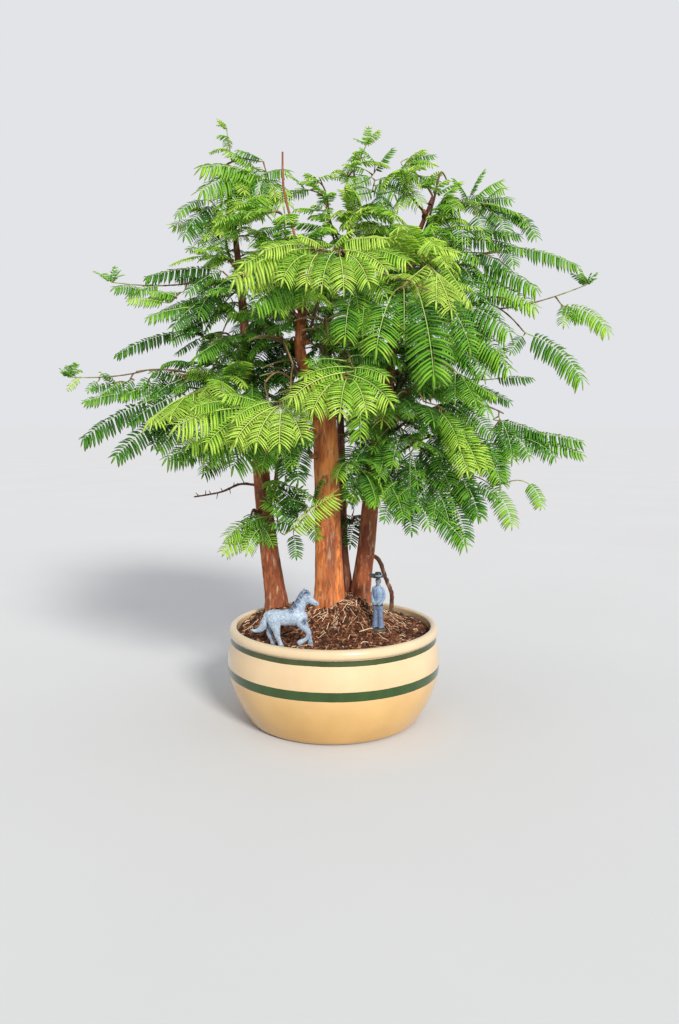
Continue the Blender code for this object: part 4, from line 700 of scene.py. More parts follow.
def sheet_solid(frond):
    """A plain thin box round a frond's blade, a little larger all round, to test that it is clear."""
    verts = []
    faces = []
    spans = SHEET_STATIONS - 1
    for step in range(SHEET_STATIONS):
        share = PETIOLE_SHARE + (1.0 - PETIOLE_SHARE) * step / spans
        place, along, side, normal = frond.at(share)
        reach = frond.half_width(share) + CLEARANCE
        ahead = along * (reach * (SHEET_SLANT[0] + SHEET_SLANT[1] * share))
        for sideways in (-1, 0, 1):
            dip = frond.droop * reach * abs(sideways)
            spot = place + side * (reach * sideways) - normal * dip + ahead * abs(sideways)
            verts += [spot + normal * CLEARANCE, spot - normal * CLEARANCE]
    for step in range(spans):
        a = step * 6
        b = a + 6
        for k in (0, 2):
            faces += [(a + k, a + k + 2, b + k + 2, b + k), (a + k + 1, b + k + 1, b + k + 3, a + k + 3)]
        faces += [(a, b, b + 1, a + 1), (a + 4, a + 5, b + 5, b + 4)]
    end = spans * 6
    faces += [(0, 1, 3, 2), (2, 3, 5, 4)]
    faces += [(end, end + 2, end + 3, end + 1), (end + 2, end + 4, end + 5, end + 3)]
    return BVHTree.FromPolygons(verts, faces)


def stem_tree(points, radii):
    """A search tree of a square stem, a little thicker than the real one."""
    verts = []
    faces = []
    for i, (spot, radius) in enumerate(zip(points, radii)):
        ahead = points[min(i + 1, len(points) - 1)] - points[max(i - 1, 0)]
        side = ahead.cross(UP if abs(ahead.normalized().z) < 0.9 else Vector((1, 0, 0))).normalized()
        over = side.cross(ahead).normalized()
        reach = (radius + CLEARANCE) * STEM_MARGIN
        verts += [spot + side * reach, spot + over * reach, spot - side * reach, spot - over * reach]
    for i, k in product(range(len(points) - 1), range(4)):
        a = i * 4
        faces.append((a + k, a + (k + 1) % 4, a + 4 + (k + 1) % 4, a + 4 + k))
    return BVHTree.FromPolygons(verts, faces)


def trunk_tree(name):
    return stem_tree([Vector(spot[:3]) for spot in CURVES[name]], [spot[3] for spot in CURVES[name]])


def is_clear(tree, others):
    return not any(tree.overlap(other) for other in others)


def on_twig(twig, share):
    """A place on a twig, which is the four control points of a Bezier curve."""
    a, b, c, d = twig
    rest = 1 - share
    return a * rest ** 3 + b * (3 * rest * rest * share) + c * (3 * rest * share * share) + d * share ** 3


def twig_heading(twig, share):
    low = max(0.0, share - 0.03)
    return (on_twig(twig, low + 0.03) - on_twig(twig, low)).normalized()


def twig_length(twig):
    spots = [on_twig(twig, i / 8) for i in range(9)]
    return sum((b - a).length for a, b in zip(spots, spots[1:]))


def twig_knots(twig):
    """The shares of a twig where its stem has a ring in the solids; between them it is straight."""
    bends = 3 if twig_length(twig) < SIDE_TWIG_SPAN else 4
    return [bend / bends for bend in range(bends + 1)]


def on_stem(twig, knots, share):
    """A place on the middle line of a twig's stem, where something can grow from it."""
    low, high = next((a, b) for a, b in zip(knots, knots[1:]) if share <= b)
    return on_twig(twig, low).lerp(on_twig(twig, high), (share - low) / (high - low))


def twig_along(arc, last=1.0):
    """A twig along a frond's rib, as far as a share of it."""
    start, ahead, _, _ = arc.at(0.0)
    end, far, _, _ = arc.at(last)
    third = arc.length * last / 3
    return [start, start + ahead * third, end - far * third, end]


def new_frond(base, heading, pitch, bend, length, slim, dice):
    """A frond with a random roll and droop; a slim one has shorter leaflets."""
    return Frond(base, heading, pitch, max(bend, LEAST_BEND), length, length * FROND_WIDTH[slim],
                 radians(dice.uniform(-FROND_ROLL, FROND_ROLL)), dice.uniform(*LEAFLET_DROOP))


def place_fronds(wanted, fronds, others):
    """Tilts each frond until it is clear of what grew before it, and leaves out one that never is."""
    for frond in wanted:
        for tilt in TILTS:
            trial = replace(frond, pitch=frond.pitch + radians(tilt))
            tree = sheet_solid(trial)
            if is_clear(tree, others):
                others.append(tree)
                fronds.append(trial)
                break


def side_fronds(twig, knots, shares, hang, size, upright, dice):
    """Pairs of fronds along a twig, shorter towards its end, listed from its end."""
    made = []
    for pair, share in enumerate(shares):
        ahead = twig_heading(twig, share)
        for side in (-1, 1):
            if upright:
                first, across, step = LEADER_TURNS
                turn = first + across * (side > 0) + step * pair
                turn = radians(turn + dice.uniform(-SCATTER, SCATTER))
                pitch = radians(LEADER_PITCH + dice.uniform(-SCATTER, SCATTER))
            else:
                spread = radians(FROND_SPREAD + dice.uniform(-SCATTER, SCATTER))
                turn = atan2(ahead.y, ahead.x) + side * spread
                pitch = asin(ahead.z) * FROND_FOLLOW + radians(dice.uniform(*FROND_RISE))
            bend = radians(hang + dice.uniform(0, FROND_SAG)) + pitch
            length = size * (1.0 - FROND_SHORTENING * share) * dice.uniform(*FROND_LENGTHS)
            made.append(new_frond(on_stem(twig, knots, share), turn, pitch, bend, length, False, dice))
    return made[::-1]


def end_frond(row, span, upright, dice):
    """The frond at a shoot's end, before it has its place and heading."""
    _, _, _, hang, size = row
    if upright:
        pitch, bend = (radians(angle) for angle in LEADER_ANGLES)
        length = size
    else:
        pitch = radians(END_FROND_ANGLE - hang / 2)
        bend = radians(END_FROND_ANGLE + hang / 2)
        length = min(size * END_FROND_SHARE, span * END_FROND_MOST)
    return new_frond(Vector((0, 0, 0)), 0.0, pitch, bend, length, not upright, dice)


def main_twig(curve, row, climb, shift, last):
    """A shoot's first twig, with its trunk's centre and radius. Its end frond's tip is where the table
    says, so the twig ends a frond before it."""
    height, tip, arch, _, _ = row
    tip = Vector(tip)
    centre, radius = trunk_at(curve, height + climb)
    reach = Vector((tip.x - centre.x, tip.y - centre.y, 0.0))
    flat = reach.normalized()
    slope = max(TWIG_SLOPES[0], min(TWIG_SLOPES[1], (tip.z - height) / reach.length + TWIG_LIFT))
    heading = (flat + UP * slope).normalized()
    if height >= curve[-1][2]:
        heading = Vector((curve[-1] - curve[-2])[:3]).normalized()
        radius = 0.0
    start = centre + heading * (radius + STUB_LENGTH + GAP)
    last.heading = atan2(flat.y, flat.x)
    last.base = Vector((0.0, 0.0, 0.0))
    end = tip - last.at(1.0)[0]
    end_heading = last.at(0.0)[1]
    third = (end - start).length / 3
    dodge = flat.cross(UP) * shift + UP * (arch + abs(shift) * SHIFT_LIFT)
    last.base = end - end_heading * FROND_ROOT
    return centre, radius, [start, start + heading * third + dodge, end - end_heading * third + dodge, end]


def stub_tree(centre, radius, start, end):
    """A search tree of a stub from a trunk's skin, towards a start, to an end."""
    skin = centre + (start - centre).normalized() * max(radius, 0.0)
    return stem_tree([skin, end], [STUB_RADIUS] * 2)


def stem_is_clear(centre, radius, spots, own, others):
    """Whether a stem is clear of all others, and past its first stretch also of its own trunk."""
    ahead = (spots[1] - spots[0]).normalized()
    free = spots[0] + ahead * min(FREE_START, (spots[1] - spots[0]).length * 0.9)
    near = stub_tree(centre, radius, spots[0], free)
    far = stem_tree([free] + spots[1:], [TWIG_RADIUS[0]] * len(spots))
    return is_clear(near, others) and is_clear(far, others) and is_clear(far, own)


def clear_twig(curve, row, last, upright, own, others):
    """The first of the tried twigs that is clear, with its trunk's centre and radius, or nothing."""
    for climb, shift in product(CLIMBS[:1] if upright else CLIMBS, SHIFTS):
        centre, radius, twig = main_twig(curve, row, climb, shift, last)
        spots = [on_twig(twig, knot) for knot in twig_knots(twig)]
        if stem_is_clear(centre, radius, spots, [] if upright else own, others):
            return centre, radius, twig
    return None


def grow_side_twig(shoot, row, share, side, reach, around, dice):
    """A side twig with a frond at its end and one beside it, where it is clear."""
    _, _, _, hang, size = row
    twig, knots, _ = shoot.twigs[0]
    ahead = twig_heading(twig, share)
    spread = radians(SIDE_TWIG_SPREAD + dice.uniform(-SCATTER, SCATTER))
    turn = atan2(ahead.y, ahead.x) + side * spread
    pitch = radians(SIDE_TWIG_PITCH + dice.uniform(-SCATTER, SCATTER))
    sag = radians(hang * SIDE_TWIG_SAG) + pitch
    arc = new_frond(on_stem(twig, knots, share), turn, pitch, sag, twig_length(twig) * reach, True, dice)
    branch = twig_along(arc)
    spots = [on_twig(branch, knot) for knot in (SIDE_TWIG_FREE, *SIDE_KNOTS[1:])]
    tree = stem_tree(spots, [SIDE_TWIG_RADIUS[0]] * len(spots))
    if not is_clear(tree, around):
        return
    around.append(tree)
    way = arc.at(1.0)[1]
    pitch = asin(way.z)
    last = new_frond(branch[3] - way * FROND_ROOT, turn, pitch, pitch + radians(hang), size * SIDE_END_SHARE,
                     False, dice)
    shoot.twigs.append((branch, SIDE_KNOTS, SIDE_TWIG_RADIUS))
    beside = side_fronds(branch, SIDE_KNOTS, SIDE_KNOTS[1:2], hang, size * SIDE_FROND_SHARE, False, dice)
    place_fronds([last, beside[side > 0]], shoot.fronds, around)


def grow_shoot(curve, row, own, others, dice):
    """A shoot's stub, twigs and fronds, clear of its own trunk and of all others, or nothing."""
    height, tip, _, hang, size = row
    upright = height >= curve[-1][2]
    last = end_frond(row, (Vector(tip) - trunk_at(curve, height)[0]).length, upright, dice)
    found = clear_twig(curve, row, last, upright, own, others)
    if found is None:
        return None
    centre, radius, twig = found
    knots = twig_knots(twig)
    shoot = Shoot(centre, radius, [(twig, knots, TWIG_RADIUS)], [], [])
    around = own + others
    place_fronds([last], shoot.fronds, around)
    if not upright and twig_length(twig) > SIDE_TWIG_SPAN:
        for share, side, reach in SIDE_TWIGS:
            grow_side_twig(shoot, row, share, side, reach, around, dice)
    pairs = max(1, round(twig_length(twig) * (1 - BARE_SHARE) / PAIR_SPACING))
    shares = [BARE_SHARE + (1 - BARE_SHARE) * (pair + PAIR_PLACE) / pairs for pair in range(pairs)]
    place_fronds(side_fronds(twig, knots, shares, hang, size, upright, dice), shoot.fronds, around)
    others.append(stub_tree(centre, radius, twig[0], twig[0]))
    for branch, knots, radii in shoot.twigs:
        spots = [on_twig(branch, knot) for knot in knots]
        others.append(stem_tree(spots, [radii[0]] * len(spots)))
    others.extend(sheet_solid(frond) for frond in shoot.fronds)
    return shoot


def grow_forest():
    """All shoots by trunk and number: the leaders grow first, then the others from front to back."""
    walls = {}
    rows = []
    for name, route in TRUNKS.items():
        wood = [stem_tree([Vector(p) for p in line], [thick] * len(line))
                for line, thick, _ in BARE_WOOD[name]]
        walls[name] = [trunk_tree(name), *wood]
        rows += [(row[0] < route[-1][2], row[1][1], name, number)
                 for number, row in enumerate(SHOOTS[name], 1)]
    grown = []
    forest = {}
    for _, _, name, number in sorted(rows):
        others = [tree for other in TRUNKS if other != name for tree in walls[other]] + grown
        before = len(others)
        dice = random.Random(f"{name} {number}")
        shoot = grow_shoot(CURVES[name], SHOOTS[name][number - 1], walls[name], others, dice)
        if shoot:
            forest[name, number] = shoot
            grown += others[before:]
    return forest


class Skin:
    """Collects the points and faces of a piece, with a material number and a tint for each point."""

    def __init__(self):
        self.points = []
        self.tints = []
        self.faces = []
        self.kinds = []
        self.count = 0

    def add(self, points, faces, kind, tints):
        """Points (n, 3) in millimetres; face arrays of 3 or 4 corners; one tint or one for each point."""
        for group in faces:
            self.faces.append(np.asarray(group, int) + self.count)
            self.kinds.append(np.full(len(group), kind))
        self.points.append(np.asarray(points, float))
        self.tints.append(np.broadcast_to(np.asarray(tints, float), (len(points), 3)))
        self.count += len(points)

    def make(self, name, materials, crease=None):
        """The piece as an object; edges sharper than the crease angle, in degrees, stay sharp."""
        mesh = bpy.data.meshes.new(name)
        points = np.concatenate(self.points) * MM
        mesh.vertices.add(len(points))
        mesh.vertices.foreach_set("co", points.ravel())
        sizes = np.concatenate([np.full(len(group), group.shape[1]) for group in self.faces])
        mesh.loops.add(int(sizes.sum()))
        mesh.loops.foreach_set("vertex_index", np.concatenate([group.ravel() for group in self.faces]))
        mesh.polygons.add(len(sizes))
        mesh.polygons.foreach_set("loop_start", np.concatenate(([0], np.cumsum(sizes)[:-1])))
        mesh.polygons.foreach_set("material_index", np.concatenate(self.kinds))
        mesh.update(calc_edges=True)
        tint = mesh.color_attributes.new("tint", "FLOAT_COLOR", "POINT")
        colours = np.ones((len(points), 4))
        colours[:, :3] = np.concatenate(self.tints)
        tint.data.foreach_set("color", colours.ravel())
        if crease is not None:
            mesh.shade_smooth()
            mesh.set_sharp_from_angle(angle=radians(crease))
        for material in materials:
            mesh.materials.append(material)
        return link(bpy.data.objects.new(name, mesh))

    def replace_solid(self, name, materials, crease, solid):
        """Makes the piece that takes a solid's place."""
        piece = self.make(name, materials, crease)
        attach(piece, "root")
        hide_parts(solid)


def link(made):
    bpy.context.scene.collection.objects.link(made)
    return made


def unit(rows):
    return rows / np.maximum(np.linalg.norm(rows, axis=-1, keepdims=True), 1e-9)


def turns(sides):
    """The angles of a ring's points."""
    return np.arange(sides) * 2 * pi / sides


def closed_faces(rings, sides):
    """Four-cornered faces between rings of points, and fans to the two end points that follow them.
    They face out where the rings turn left going ahead."""
    ring = np.arange(rings - 1)[:, None] * sides
    turn = np.arange(sides)
    after = (turn + 1) % sides
    quads = np.stack([ring + turn, ring + after, ring + sides + after, ring + sides + turn], -1)
    last = (rings - 1) * sides
    end = np.full(sides, rings * sides)
    fans = [np.stack([end, after, turn], -1), np.stack([last + turn, last + after, end + 1], -1)]
    return [quads.reshape(-1, 4), np.concatenate(fans)]


def tube_skin(spots, radii, sides, reach=None):
    """A round stem along spots, closed by a point at each end. Reach may give a radius to each point."""
    spots = np.asarray(spots, float)
    radii = np.asarray(radii, float)
    ahead = unit(np.gradient(spots, axis=0))
    side = np.cross(ahead[0], [0.0, 0.0, 1.0] if abs(ahead[0][2]) < 0.9 else [1.0, 0.0, 0.0])
    across = []
    for way in ahead:
        side = side - way * np.dot(side, way)
        side = side / np.linalg.norm(side)
        across.append(side)
    across = np.array(across)
    over = np.cross(ahead, across)
    angles = turns(sides)
    if reach is None:
        reach = radii[:, None] * np.ones(sides)[None, :]
    ring = across[:, None] * np.cos(angles)[:, None] + over[:, None] * np.sin(angles)[:, None]
    points = (spots[:, None, :] + ring * reach[:, :, None]).reshape(-1, 3)
    ends = [spots[0] - ahead[0] * radii[0] * 0.3, spots[-1] + ahead[-1] * radii[-1] * 0.5]
    return np.concatenate([points, ends]), closed_faces(len(spots), sides)


def turned(profile, sides, waver=1.0):
    """A closed skin from a line of (radius, height) turned round its own axis. The line starts and ends
    on the axis, and goes out from the top or the inside. Waver may scale the radius at each angle."""
    angles = turns(sides)
    line = np.asarray(profile, float)
    reach = line[1:-1, :1] * (waver * np.ones(sides))
    rings = np.stack([reach * np.cos(angles), reach * np.sin(angles), line[1:-1, 1:] + 0 * reach], -1)
    points = np.concatenate([rings.reshape(-1, 3), [[0, 0, line[0, 1]], [0, 0, line[-1, 1]]]])
    return points, [group[:, ::-1] for group in closed_faces(len(line) - 2, sides)]


def smooth_route(rows, spacing):
    """Rows resampled along a curve through all of them, about one spacing apart."""
    rows = np.asarray(rows, float)
    made = []
    for i in range(len(rows) - 1):
        a, b, c, d = rows[max(i - 1, 0)], rows[i], rows[i + 1], rows[min(i + 2, len(rows) - 1)]
        steps = max(1, int(np.linalg.norm(c[:3] - b[:3]) / spacing))
        for t in np.arange(steps) / steps:
            made.append(0.5 * (2 * b + (c - a) * t + (2 * a - 5 * b + 4 * c - d) * t * t
                               + (3 * b - a - 3 * c + d) * t ** 3))
    return np.array([*made, rows[-1]])


def rib_frames(frond, shares):
    """Places, directions, sides and normals along a frond's rib, for an array of shares."""
    here = frond.pitch - frond.bend * shares
    scale = frond.length / frond.bend
    flat = np.array([cos(frond.heading), sin(frond.heading), 0.0])
    level = np.array([flat[1], -flat[0], 0.0])
    up = np.array([0.0, 0.0, 1.0])
    place = (np.array(frond.base)[None] + flat[None] * (scale * (sin(frond.pitch) - np.sin(here)))[:, None]
             + up[None] * (scale * (np.cos(here) - cos(frond.pitch)))[:, None])
    along = flat[None] * np.cos(here)[:, None] + up[None] * np.sin(here)[:, None]
    normal = np.cross(level[None], along)
    side = level[None] * cos(frond.roll) + normal * sin(frond.roll)
    return place, along, side, np.cross(side, along)


def blade_reach(frond, shares):
    """Reach of the leaflets: full along most of the rib and shorter towards its ends."""
    full, least = REACH_START
    from_here, loss, power = REACH_END
    rise = np.clip(shares / full, 0.0, 1.0)
    fall = np.clip((shares - from_here) / (1.0 - from_here), 0.0, 1.0)
    return frond.width * (least + (1.0 - least) * np.sin(rise * pi / 2)) * (1.0 - loss * fall ** power)


def leaflet_places(frond, pitch, rng):
    """Where the leaflets leave the rib, and the hand of each: -1 and 1 for the rows, 0 for the last."""
    pairs = max(4, round(frond.length * (RIB_REACH - PETIOLE_SHARE) / pitch))
    steps = (np.arange(pairs) + 0.4) / pairs
    shares = np.append(np.repeat(PETIOLE_SHARE + (RIB_REACH - PETIOLE_SHARE) * steps ** 0.97, 2), RIB_REACH)
    shares = np.clip(shares + rng.uniform(-BLADE_PLACES, BLADE_PLACES, len(shares)) / pairs, 0.0, 0.97)
    return shares, np.append(np.tile([-1.0, 1.0], pairs), 0.0)


def leaflet_points(frond, shares, hand, pitch, blade, rng):
    """Points of the leaflets, which are thin closed blades that sweep ahead and droop."""
    stations, shape = blade
    count = len(shares)
    place, along, side, normal = rib_frames(frond, shares)
    reach = blade_reach(frond, shares) * rng.uniform(*BLADE_REACHES, count)
    ahead = reach * (BLADE_SLANT[0] + BLADE_SLANT[1] * shares + BLADE_SLANT[2] * shares ** 5)
    droop = frond.droop * rng.uniform(*BLADE_DROOPS, count)
    down = np.array([0.0, 0.0, -1.0])
    sink = -0.7 * normal * np.sign(normal[:, 2:] + 0.15) + 0.6 * (down - along * (along @ down)[:, None])

    def spot(t):
        t = np.asarray(t, float)
        return (place[:, None] + side[:, None] * (hand * reach)[:, None, None] * t[None, :, None]
                + along[:, None] * ahead[:, None, None] * (t ** 1.6)[None, :, None]
                + sink[:, None] * (droop * reach)[:, None, None] * (t ** 1.7)[None, :, None])

    knots = np.array([0.0, *stations, 1.0])
    line = spot(knots)
    middle = line[:, 1:-1]
    tangent = unit(spot(np.clip(knots + 0.05, 0, 1)) - spot(np.clip(knots - 0.05, 0, 1)))[:, 1:-1]
    twist = np.radians(rng.normal(*BLADE_TWIST, count))[:, None, None]
    across = np.where(hand[:, None] == 0.0, side, along)
    wide = across[:, None] * np.cos(twist) + normal[:, None] * np.sin(twist)
    wide = unit(wide - tangent * (wide * tangent).sum(-1, keepdims=True))
    face = np.cross(tangent, wide)
    flip = np.sign((face * normal[:, None]).sum(-1, keepdims=True))
    wide = wide * flip
    face = face * flip
    width = pitch * BLADE_SHARE * np.minimum(1.0, 0.55 + reach / 14.0)
    half = (width * rng.uniform(*BLADE_WIDTHS, count) / 2)[:, None, None] * np.array(shape)[None, :, None]
    above, below = BLADE_THICKNESS
    corners = np.stack([middle + wide * half + face * above, middle - wide * half + face * above,
                        middle - face * below], 2)
    return np.concatenate([corners.reshape(count, -1, 3), line[:, :1], line[:, -1:]], 1)


def leaflet_tints(shares, youth_and_shade, worn, lengthwise, rng):
    """Tints of the leaflets: youth, darker towards the frond's base as painted shade and lighter at its
    younger tip, with a worn tip as 1, a chance value, and the place on the leaflet.
    """
    first, rise, spread = BLADE_YOUTH_AND_SHADE
    young_and_shade = youth_and_shade + first + rise * shares ** 1.6 + rng.normal(0, spread, len(shares))
    old = (rng.random(len(shares)) < worn)[:, None]
    tone = np.clip(young_and_shade[:, None] + 0.1 * (lengthwise[None] - 0.4), 0.0, 0.8)
    tone = np.where(old & (lengthwise[None] > 0.7), 1.0, tone)
    return np.stack([tone, rng.random(len(shares))[:, None] + 0.0 * tone, lengthwise[None] + 0.0 * tone], -1)


def add_frond(skin, frond, youth_and_shade, worn, dice):
    """A frond's rib and its two rows of leaflets."""
    rng = np.random.default_rng(dice.randrange(1 << 30))
    pitch = min(max(PAIR_PITCH[0] + PAIR_PITCH[1] * frond.length, PAIR_LIMITS[0]), PAIR_LIMITS[1])
    large = frond.width > LARGE_BLADE
    stations = BLADES[large][0]
    shares, hand = leaflet_places(frond, pitch, rng)
    points = leaflet_points(frond, shares, hand, pitch, BLADES[large], rng)
    tints = leaflet_tints(shares, youth_and_shade, worn, np.array([*np.repeat(stations, 3), 0.0, 1.0]), rng)
    first = np.arange(len(shares))[:, None, None] * points.shape[1]
    faces = [(first + group[None]).reshape(-1, group.shape[1]) for group in closed_faces(len(stations), 3)]
    skin.add(points.reshape(-1, 3), faces, 0, tints.reshape(-1, 3))
    knots = np.linspace(0.0, RIB_REACH, 8 if large else 6)
    radii = RACHIS_RADIUS[0] + (RACHIS_RADIUS[1] - RACHIS_RADIUS[0]) * knots
    radii = radii * (0.7 + 0.3 * min(1.0, frond.length / 60))
    rib, faces = tube_skin(rib_frames(frond, knots)[0], radii, 5 if large else 4)
    skin.add(rib, faces, 1, (min(youth_and_shade, 0.8), dice.random(), 0.0))


def add_twig(skin, twig, radii, dice, tone):
    """A round twig along its curve, with faint swellings along it."""
    length = twig_length(twig)
    knots = np.linspace(0.0, 1.0, max(6, int(length / 4)))
    spots = np.array([on_twig(twig, knot) for knot in knots])
    wave = dice.uniform(0, 6)
    sizes = radii[0] + (radii[1] - radii[0]) * knots ** 0.8
    sizes = sizes * (1.0 + 0.12 * np.sin(knots * length * 0.55 + wave) + 0.05 * np.sin(knots * length * 1.3))
    sides = 8 if radii[0] > 1.0 else 6
    points, faces = tube_skin(spots, sizes, sides)
    share = np.concatenate([np.repeat(knots, sides), [0.0, 1.0]])
    tints = np.stack([np.clip(share * 0.8 + tone, 0, 1), np.full(len(share), dice.random()), share], -1)
    skin.add(points, faces, 2, tints)


def room_of(shoot):
    """The space that a shoot's own fronds fill in the solids, and a little round it."""
    spots = [frond.at(share)[0] for frond in shoot.fronds for share in (0.0, 0.6, 1.0)]
    low = Vector([min(spot[k] for spot in spots) for k in range(3)])
    high = Vector([max(spot[k] for spot in spots) for k in range(3)])
    beside = Vector((BESIDE_SOLID,) * 3)
    return low - Vector((BESIDE_SOLID, BESIDE_SOLID, BELOW_SOLID)), high + beside


def is_open(frond):
    """Whether a frond leaves the trunks' fronts and the windows to the forks open."""
    for share in (0.2, 0.5, 0.75, 1.0):
        spot = frond.at(share)[0]
        if any(all(near < spot[k] < far for k, (near, far) in enumerate(window)) for window in WINDOWS):
            return False
        if spot.y < OPEN_BEFORE and any(x0 < spot.x < x1 and spot.z < top for x0, x1, top in OPEN_FRONT):
            return False
    return True


def is_inside(frond, room):
    """Whether a frond stays in its shoot's space and leaves the trunks' fronts open."""
    low, high = room
    spots = [frond.at(share)[0] for share in (0.5, 1.0)]
    return all(low[k] <= spot[k] <= high[k] for spot in spots for k in range(3)) and is_open(frond)


def small_frond(base, turn, pitch, bend, length, dice):
    """A frond that the solids leave out: it stands up more, the higher it grows, and rolls a little."""
    lift = share_of(base[2], *LIFT_FROM)
    pitch = min(STEEPEST, pitch + radians(LIFT_MOST) * lift * dice.uniform(*LIFT_VARIES))
    made = new_frond(base, turn, pitch, bend * (1 - 0.35 * lift) + 0.2, length, False, dice)
    made.roll += radians(dice.uniform(-ROLL_MOST, ROLL_MOST))
    return made


def tuft(spot, dice):
    """Short fronds that stand round a twig's tip."""
    made = []
    turn = dice.uniform(0, FULL_TURN)
    for step in range(TUFT_FRONDS):
        turn += radians(GOLDEN_TURN)
        pitch = radians(dice.uniform(*TUFT_PITCH) + TUFT_RISE * step / TUFT_FRONDS)
        bend = dice.uniform(*TUFT_BEND)
        made.append(new_frond(spot, turn, pitch, bend, dice.uniform(*TUFT_LENGTH), False, dice))
    return made


def fitted(fronds, walls, crowd, room, most=MOST_CROSSINGS):
    """The fronds that find room, each at the tilt that crosses the fewest others and at most some."""
    kept = []
    for frond in fronds:
        best = None
        fewest = most + 1
        for tilt in TILTS:
            bend = max(LEAST_BEND, frond.bend + radians(tilt))
            trial = replace(frond, pitch=frond.pitch + radians(tilt), bend=bend)
            if not is_inside(trial, room):
                continue
            tree = sheet_solid(trial)
            if not is_clear(tree, walls):
                continue
            middle, around = trial.bounds()
            found = sum(1 for centre, reach, other in crowd
                        if (centre - middle).length < reach + around and tree.overlap(other))
            if found < fewest:
                best = (trial, (middle, around, tree))
                fewest = found
            if found == 0:
                break
        if best:
            kept.append(best[0])
            crowd.append(best[1])
    return kept


def sprig(twig, share, turn, pitch, reach, hang, size, dice):
    """A small side twig and the fronds on it."""
    sag = radians(hang * SIDE_TWIG_SAG) + max(pitch, 0.0)
    arc = new_frond(on_twig(twig, share), turn, pitch, sag, reach, True, dice)
    branch = twig_along(arc)
    lift = asin(arc.at(1.0)[1].z)
    fronds = [small_frond(branch[3], turn, lift, lift + radians(hang), size, dice)]
    for spot, hand in product(SPRIG_PLACES[reach > LONG_SPRIG], (-1, 1)):
        heading = turn + hand * radians(dice.uniform(*EXTRA_SPREAD))
        lift = radians(dice.uniform(*SPRIG_RISE))
        bend = lift + radians(hang + SPRIG_HANG)
        length = size * dice.uniform(*SPRIG_SIZES)
        fronds.append(small_frond(on_twig(branch, spot), heading, lift, bend, length, dice))
    return branch, fronds


def keep_sprig(shoot, branch, kept):
    if kept:
        shoot.sprigs.append(branch)
        shoot.fronds += kept


def extra_fronds(twig, first, row, upright, dice):
    """Pairs of small fronds along a twig."""
    _, _, _, hang, size = row
    made = []
    count = max(1, round(twig_length(twig) * (1 - first) / EXTRA_SPACING))
    for step in range(count):
        share = first + (1 - first) * (step + dice.uniform(0.25, 0.75)) / count
        ahead = twig_heading(twig, share)
        for side in (-1, 1):
            spread = radians(dice.uniform(*EXTRA_SPREAD)) * side
            turn = atan2(ahead.y, ahead.x) + (spread if not upright else dice.uniform(0, FULL_TURN))
            pitch = asin(ahead.z) * FROND_FOLLOW + radians(dice.uniform(-EXTRA_TILT, EXTRA_TILT) + 8)
            bend = radians(hang * dice.uniform(0.35, 0.85) + dice.uniform(0, FROND_SAG)) + pitch
            reach = size * (1.05 - 0.3 * share) * dice.uniform(*EXTRA_SIZES)
            made.append(small_frond(on_twig(twig, share), turn, pitch, bend, reach, dice))
    return made


def extra_sprigs(shoot, twig, row, walls, crowd, room, dice):
    """Small side twigs with fronds along a twig, where they are clear of the trunks."""
    _, _, _, hang, size = row
    length = twig_length(twig)
    count = round(length * 0.75 / SPRIG_SPACING)
    for step in range(count):
        share = 0.22 + 0.7 * (step + dice.uniform(0.2, 0.8)) / count
        ahead = twig_heading(twig, share)
        turn = atan2(ahead.y, ahead.x) + dice.choice((-1, 1)) * radians(dice.uniform(*SPRIG_SPREAD))
        reach = min(length * dice.uniform(*SPRIG_REACH), SPRIG_LONGEST)
        pitch = radians(dice.uniform(*SPRIG_PITCH))
        branch, fronds = sprig(twig, share, turn, pitch, reach, hang, size * 0.75, dice)
        if is_clear(stem_tree([on_twig(branch, knot) for knot in (0.2, 0.6, 1.0)], [1.0] * 3), walls):
            keep_sprig(shoot, branch, fitted(fronds, walls, crowd, room))


def dress(key, shoot, walls, crowd, dice):
    """Adds the small fronds and sprigs that the solids leave out."""
    row = SHOOTS[key[0]][key[1] - 1]
    upright = row[0] >= CURVES[key[0]][-1][2]
    room = room_of(shoot)
    added = []
    for number, (twig, _, _) in enumerate(shoot.twigs):
        added += extra_fronds(twig, 0.12 if number else 0.2, row, upright, dice)
        if twig_length(twig) > SPRIG_FROM and not upright:
            extra_sprigs(shoot, twig, row, walls, crowd, room, dice)
    shoot.fronds += fitted(added, walls, crowd, room)


def frond_between(base, tip, bend, width, young_and_shade):
    """A frond from a base to a tip that bends down by an angle in degrees and faces the front."""
    way = tip - base
    bend = radians(bend)
    length = way.length * (bend / 2) / sin(bend / 2)
    made = Frond(base, atan2(way.y, way.x), asin(way.normalized().z) + bend / 2, bend, length, length * width,
                 0.0, 0.0, young_and_shade)
    rolls = [replace(made, roll=radians(angle)) for angle in FACING_ROLLS]
    return max(rolls, key=lambda trial: -trial.at(0.5)[3].y)


def stem_to(frond, twigs):
    """A thin stem that leaves the best of the twigs and runs into a frond's rib."""
    ahead = frond.at(0.0)[1]
    spots = [on_twig(twig, i / 24) for twig in twigs for i in range(25)]
    ways = [(frond.base - spot, spot) for spot in spots]
    way, start = min(ways, key=lambda found: found[0].length * (1.7 - found[0].normalized().dot(ahead)))
    if way.length < 1.5:
        return []
    return [[start, start.lerp(frond.base, 0.35), frond.base - ahead * way.length * 0.4, frond.base]]


def place_by_hand(shoot, rows):
    """Adds the fronds of a table, each with a stem from the twig that is nearest."""
    dice = random.Random(len(rows) * 31 + len(shoot.fronds))
    for row in rows:
        bend, width, young_and_shade = row[6:]
        made = frond_between(Vector(row[:3]), Vector(row[3:6]), bend, width / 100, young_and_shade / 100)
        made.droop = dice.uniform(*PLACED_DROOP)
        shoot.fronds.append(made)
        shoot.sprigs += stem_to(made, [twig for twig, _, _ in shoot.twigs] + shoot.sprigs)


